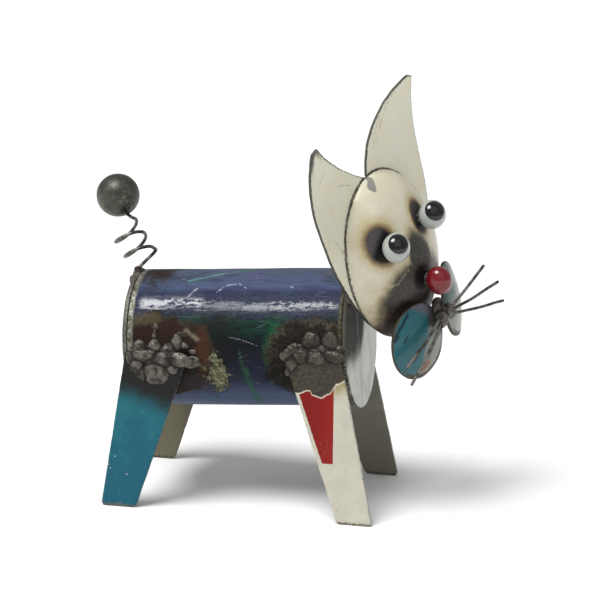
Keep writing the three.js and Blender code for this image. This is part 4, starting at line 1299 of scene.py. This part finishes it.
# Bare grey from the brow to the chin, shading through yellow into the paint
bareSpots = [{"middle": (-4, -12.5), "radii": (16.5, 13.5)}, {"middle": (0.8, -2.5), "radii": (6.6, 12)}]
faceLines = [((-19.7, -2.7), (-12.8, -4.1)), ((-12.8, -4.1), (-7.2, -1.4)), ((-7.2, -1.4), (-4.9, 2.3))]


def creamFace():
    b = Bench("creamFace")
    p = b.place(headFrame)
    across, up = b.parts(p)[1:]
    rim = b.stored("rim")
    flat = b.join(0, across, up)
    coarse = b.noise(p, 7, 4)
    fine = b.noise(p, 1.1, 4, 0.65)
    streak = b.noise(b.stretch(p, (1, 2.4, 0.35)), 1.6, 4, 0.7)
    ragged = coarse.sway(0.4) + fine.sway(0.12)
    color = b.mix(b.ease(coarse, 0.35, 0.7), creams["face"], creams["faceLight"])
    specks = b.ease(b.cells(p, 5), 0.06, 0.03)
    color = b.mix(specks * 0.6, color, creams["mark"])

    # one spot, its size times grow
    def oval(spot, grow, soft, uneven):
        return b.blot(flat, (0, *spot["middle"]), (1, *[r * grow for r in spot["radii"]]), soft, uneven)

    def upperSide(spot):
        return b.ease(up - spot["middle"][1] - (across - spot["middle"][0]) * 0.9, 0.5, 4.5) * spot["violet"]

    grey = reduce(Wire.most, [oval(spot, 1, 0.2, ragged) for spot in bareSpots])
    warm = reduce(Wire.most, [oval(spot, 1.16, 0.26, ragged) for spot in bareSpots])
    cores = [oval(spot, 1, 0.16, ragged * 0.6) for spot in faceSpots]
    core = reduce(Wire.most, cores)
    ring = reduce(Wire.most, [oval(spot, 1.1, 0.16, ragged * 0.6) for spot in faceSpots])
    halo = reduce(Wire.most, [oval(spot, spot["spread"], 0.3, ragged) for spot in faceSpots]).most(warm * 0.85)
    violet = reduce(Wire.most, [upperSide(spot) * dark for spot, dark in zip(faceSpots, cores)])
    color = b.mix(halo * 0.72, color, creams["halo"])
    color = b.mix(b.ease(halo + fine.sway(0.3), 0.7, 1.02) * 0.6, color, creams["brown"])
    greyTone = b.mix(b.ease(streak, 0.4, 0.65), creams["greyDark"], creams["grey"])
    greyTone = b.mix(b.ease(across + up * 0.35, 4, 11) * 0.7, greyTone, creams["sheen"])
    color = b.mix(grey * 0.97, color, greyTone)
    color = b.mix(ring * 0.75, color, creams["ring"])
    # the black cores, with the painted shade at the chin and under the nose, go brown low down on the cat's right
    coreTone = b.mix(b.ease(up, -11, -16) * b.ease(across, 2, -12), creams["soot"], creams["chin"])
    color = b.mix(core, color, coreTone)
    color = b.mix(violet * 0.85, color, creams["violet"])
    swayed, shaken = across + coarse.sway(3), up + fine.sway(3)
    lines = reduce(Wire.most, [b.ease(b.nearLine(swayed, shaken, start, end), 0.7, 0.1) for start, end in faceLines])
    color = b.mix(lines * b.ease(fine, 0.42, 0.58) * 0.6, color, creams["line"])
    notch = b.ease(b.nearLine(across, up, (-0.6, 31.6), (-3.6, 29.6)) + (up - 31.6) * 0.3 + (fine - 0.5), 0.75, 0.5)
    color = b.mix(notch, color, creams["notch"])
    seam = b.ease(rim + fine.sway(1.8), 0.55, 0.1)
    color = b.mix(seam, color, "2b2823")
    burnt = core.most(grey * 0.7)
    return b.finish(color=color, roughness=0.3 + fine * 0.1 + burnt * 0.1, metal=burnt * 0.2, gloss=0.25,
                    coat=(1 - burnt) * 0.25, coatRoughness=0.12,
                    normal=b.bump(coarse * 0.6 + fine * 0.08 + burnt * streak * 0.25, 0.4))


# Gloss white balls with black pupils that look up and to the cat's right
pupil = {"toward": (0.739, -0.30, 0.603), "radius": 3.95}


def eyeEnamel():
    b = Bench("eyeEnamel")
    p = b.place(headFrame)
    shaken = b.noise(p, 1.6, 2).sway(0.3)
    pupils = [ballPlace(ball)[0] + Vector(t * r for t, r in zip(pupil["toward"], ball["radii"]))
              for ball in (balls["right_eye"], balls["left_eye"])]
    black = reduce(Wire.most, [b.ease(b.apart(p, spot) + shaken, pupil["radius"] + 0.08, pupil["radius"] - 0.08)
                               for spot in pupils])
    fine = b.noise(p, 0.9, 3, 0.6)
    dirt = b.ease(b.noise(p, 2.2, 4, 0.7), 0.58, 0.72)
    color = b.mix(dirt * 0.3, "a6aba6", "7a7d75")
    specks = b.ease(b.cells(p, 2.6), 0.06, 0.03)
    color = b.mix(specks * 0.7, color, "4a463f")
    color = b.mix(black, color, "0c0c0e")
    return b.finish(color=color, roughness=0.14 + fine * 0.06, gloss=0.2, coat=0.8, coatRoughness=0.05,
                    normal=b.bump(b.noise(p, 3, 2), 0.12))


def noseEnamel():
    b = Bench("noseEnamel")
    p = b.place(headFrame)
    coarse = b.noise(p, 3, 3)
    fine = b.noise(p, 0.8, 3, 0.7)
    color = b.mix(b.ease(coarse, 0.35, 0.65), "680d15", "74151e")
    nicks = b.ease(b.cells(p, 3), 0.07, 0.03)
    color = b.mix(nicks * 0.7, color, "4a1016")
    return b.finish(color=color, roughness=0.16 + fine * 0.08, gloss=0.2, coat=0.7, coatRoughness=0.05,
                    normal=b.bump(coarse, 0.15))


cheekTones = {"teal": "27626a", "deep": "0c2c36", "grey": "5f5d64", "green": "44625e", "paleReflection": "777d73",
              "rim": "4d443a", "rust": "7a4226"}


def cheekPaint(name, plan, split, grey, seed):
    b = Bench(f"{name}_paint")
    p = b.place(headFrame)
    own = b.node("ShaderNodeMapping", {"vector_type": "TEXTURE"},
                 {"Vector": p, "Location": plan["at"], "Rotation": (0, 0, math.radians(plan["turn"]))})
    x, across, up = b.parts(own)
    rim = b.stored("rim")
    coarse = b.noise(b.shift(p, (seed, 0, 0)), 4, 4)
    fine = b.noise(p, 1, 4, 0.7)
    slant = b.join(0, across + up * 0.6, up - across * 0.6)
    streak = b.noise(b.stretch(b.shift(slant, (0, seed, 0)), (1, 0.25, 1)), 4, 2)
    # dark slanting streaks across the teal are painted in for the whiskers' shadows and reflections in the gloss
    color = b.mix(b.ease(streak, 0.56, 0.6), cheekTones["teal"], cheekTones["deep"])
    # the paler side of each dish, facing the bright surroundings, is a painted reflection of them in the gloss; the
    # far (left) cheek is painted so all over
    paleReflection = b.ease(across - split - up * 0.7 + coarse.sway(3), -0.9, 0.9)
    reflectionTone = b.mix(b.ease(up, -2, 6), cheekTones["paleReflection"], cheekTones[grey])
    reflectionTone = b.mix(b.ease(fine, 0.5, 0.7) * 0.4, reflectionTone, "6f776e")
    color = b.mix(paleReflection, color, reflectionTone)
    top = b.ease(up + across * 0.9, 12.4, 14.6) * 0.85
    color = b.mix(top, color, cheekTones[grey])
    rust = b.blot(b.join(0, across, up), (0, -1.5, -9.5), (1, 3.4, 1.5), 0.5, fine.sway(1.8))
    color = b.mix(rust * 0.9, color, cheekTones["rust"])
    edge = b.ease(rim + fine.sway(1.4), 0.9, 0.5)
    low = b.ease(rim + fine.sway(3), 2.6, 1.4) * b.ease(up, -4, -10)
    edge = edge.most(low)
    color = b.mix(edge, color, cheekTones["rim"])
    bowl = (across * across + up * up) * (cheeks["dish"] / cheeks["radius"] ** 2) - cheeks["dish"]
    back = b.ease(x + bowl, -0.35, -0.65)
    color = b.mix(back * 0.7, color, "4b4740")
    return b.finish(color=color, roughness=0.2 + fine * 0.12 + edge * 0.25, metal=(edge * 0.6).most(paleReflection * 0.3),
                    gloss=0.2, coat=(1 - edge) * 0.25, coatRoughness=0.08,
                    normal=b.bump(coarse + fine * 0.15, 0.4))


def wireSteel(name, light, dark, rust):
    b = Bench(name)
    p = b.place(headFrame)
    coarse = b.noise(p, 3.4, 4)
    fine = b.noise(p, 0.6, 3, 0.7)
    color = b.mix(b.ease(coarse, 0.35, 0.65), dark, light)
    color = b.mix(b.ease(b.noise(b.shift(p, (5, 5, 5)), 4, 3), 0.56, 0.7) * rust, color, "5d3a24")
    return b.finish(color=color, roughness=0.28 + fine * 0.2, metal=0.85, normal=b.bump(fine, 0.08))


def ballSteel():
    b = Bench("ballSteel")
    p = b.place(catFrame)
    coarse = b.noise(p, 4, 4)
    fine = b.noise(p, 0.7, 4, 0.7)
    scratch = b.ease(b.cells(b.stretch(p, (0.4, 1, 1.3)), 2.6, "DISTANCE_TO_EDGE"), 0.03, 0.01)
    cross = b.ease(b.cells(b.stretch(b.shift(p, (3, 8, 1)), (1.5, 1, 0.4)), 2.2, "DISTANCE_TO_EDGE"), 0.025, 0.008)
    worn = scratch.most(cross) * b.ease(coarse, 0.42, 0.6)
    color = b.mix(b.ease(coarse, 0.3, 0.7), "45453f", "57574f")
    color = b.mix(worn * 0.7, color, "8d8d83")
    color = b.mix(b.ease(fine, 0.62, 0.7) * 0.5, color, "26241f")
    joint = tailSpot(tail["ball"]) + Vector(tail["into"]).normalized() * tail["ballRadius"]
    heat = b.ease(b.apart(p, joint) + coarse.sway(3), 6, 2.4)
    color = b.mix(heat * 0.85, color, "16130f")
    return b.finish(color=color, roughness=0.26 + fine * 0.24, metal=0.85,
                    normal=b.bump(fine * 0.5 - worn * 1.2, 0.25))


# Putting the cat together
def buildCat():
    dress(makePipe(), navyEnamel(), "navy_enamel", "body_tube")
    dress(makeDisc("rear_end_disc_plate", discs["rear"], 1), wornAndShadedDisc("bareDisc", "8f8f89", "6a6760", 3),
          "bare_disc", "rear_end_disc")
    dress(makeDisc("front_end_disc_plate", discs["front"], 2), wornAndShadedDisc("silverDisc", "c6c7c0", "a9aaa2", 8, 1),
          "silver_disc", "front_end_disc")
    print("pipe and discs made")
    slots = {"rear_right": "teal_leg", "front_right": "cream_leg",
             "rear_left": "khaki_leg", "front_left": "olive_leg"}
    welds = {end: weldMetal(end, catFrame) for end in ("rear", "front")}
    for seed, (name, leg) in enumerate(legs.items()):
        paint = creamLegPaint(leg) if name == "front_right" else legPaint(name, legPaints[name], leg, seed + 1)
        dress(makeLeg(name, leg, seed), paint, slots[name], f"{name}_leg")
        end = name.split("_")[0]
        beads = rearBeads if end == "rear" else frontBeads
        dress(makeLegWeld(name, leg, beads, seed + 3), welds[end], "weld_metal", f"{name}_weld")
    print("legs and their welds made")
    dress(makeEarPlate(), creamPlate(), "cream_plate", "ear_plate")
    dress(makeFace(), creamFace(), "cream_face", "face_dome")
    white, scorched = eyeEnamel(), weldMetal("scorched", headFrame)
    for seed, (name, ball) in enumerate(balls.items()):
        finish = noseEnamel() if name == "nose" else white
        slot = "nose_enamel" if name == "nose" else "eye_enamel"
        dress(makeBall(f"{name}_ball", ball, seed), finish, slot, name)
        dress(makeCollar(f"{name}_collar", ball, seed), scorched, "weld_metal")
    for seed, (side, split, grey) in enumerate((("right", 2.6, "grey"), ("left", -30, "green"))):
        name = f"{side}_cheek"
        dress(makeCheek(f"{name}_dish", cheeks[side], seed), cheekPaint(name, cheeks[side], split, grey, seed * 9),
              "teal_cheek", name)
    print("head made")
    wire, steel = wireTree(), wireSteel("whiskerSteel", "7b7973", "3d3b37", 0.25)
    for side in ("left", "right"):
        for number in range(3):
            name = f"{side}_whisker_{number + 1}"
            seed = number + (3.0 if side == "left" else 0.0)
            made = makeWire(wire, name, whiskerPath(side, number), headFrame, whiskers, seed, steel)
            dress(made, steel, "wire_steel", name)
    spring = wireSteel("springSteel", "85837d", "3c3a36", 0.15)
    made = makeWire(wire, "tail_spring", tailPath(), catFrame, tail, 1.0, spring)
    dress(made, spring, "wire_steel", "tail_spring")
    dress(makeTailBall(), ballSteel(), "ball_steel", "tail_ball")
    dress(weldLump("whisker_weld_beads", whiskerBeads, headFrame, 5, 0.7), weldMetal("whisker", headFrame),
          "weld_metal", "whisker_weld")
    dress(weldLump("neck_weld_beads", neckBeads(), pipeFrame, 6), welds["front"], "weld_metal", "neck_weld")
    dress(weldLump("tail_weld_beads", tailBeads, catFrame, 7), weldMetal("tail", catFrame),
          "weld_metal", "tail_weld")
    print("whiskers, tail and small welds made")
    tree = spatterTree()
    for seed, (name, (middle, radii)) in enumerate(spatter["patches"].items()):
        made = pipePatch(f"{name}_spatter", middle, radii, legs[name]["side"])
        made = tree.apply(made, Seed=seed + 2, Finish=scorched)
        dress(made, scorched, "weld_metal")
    print("weld spatter made")


setCamera()
setStudio()
buildCat()
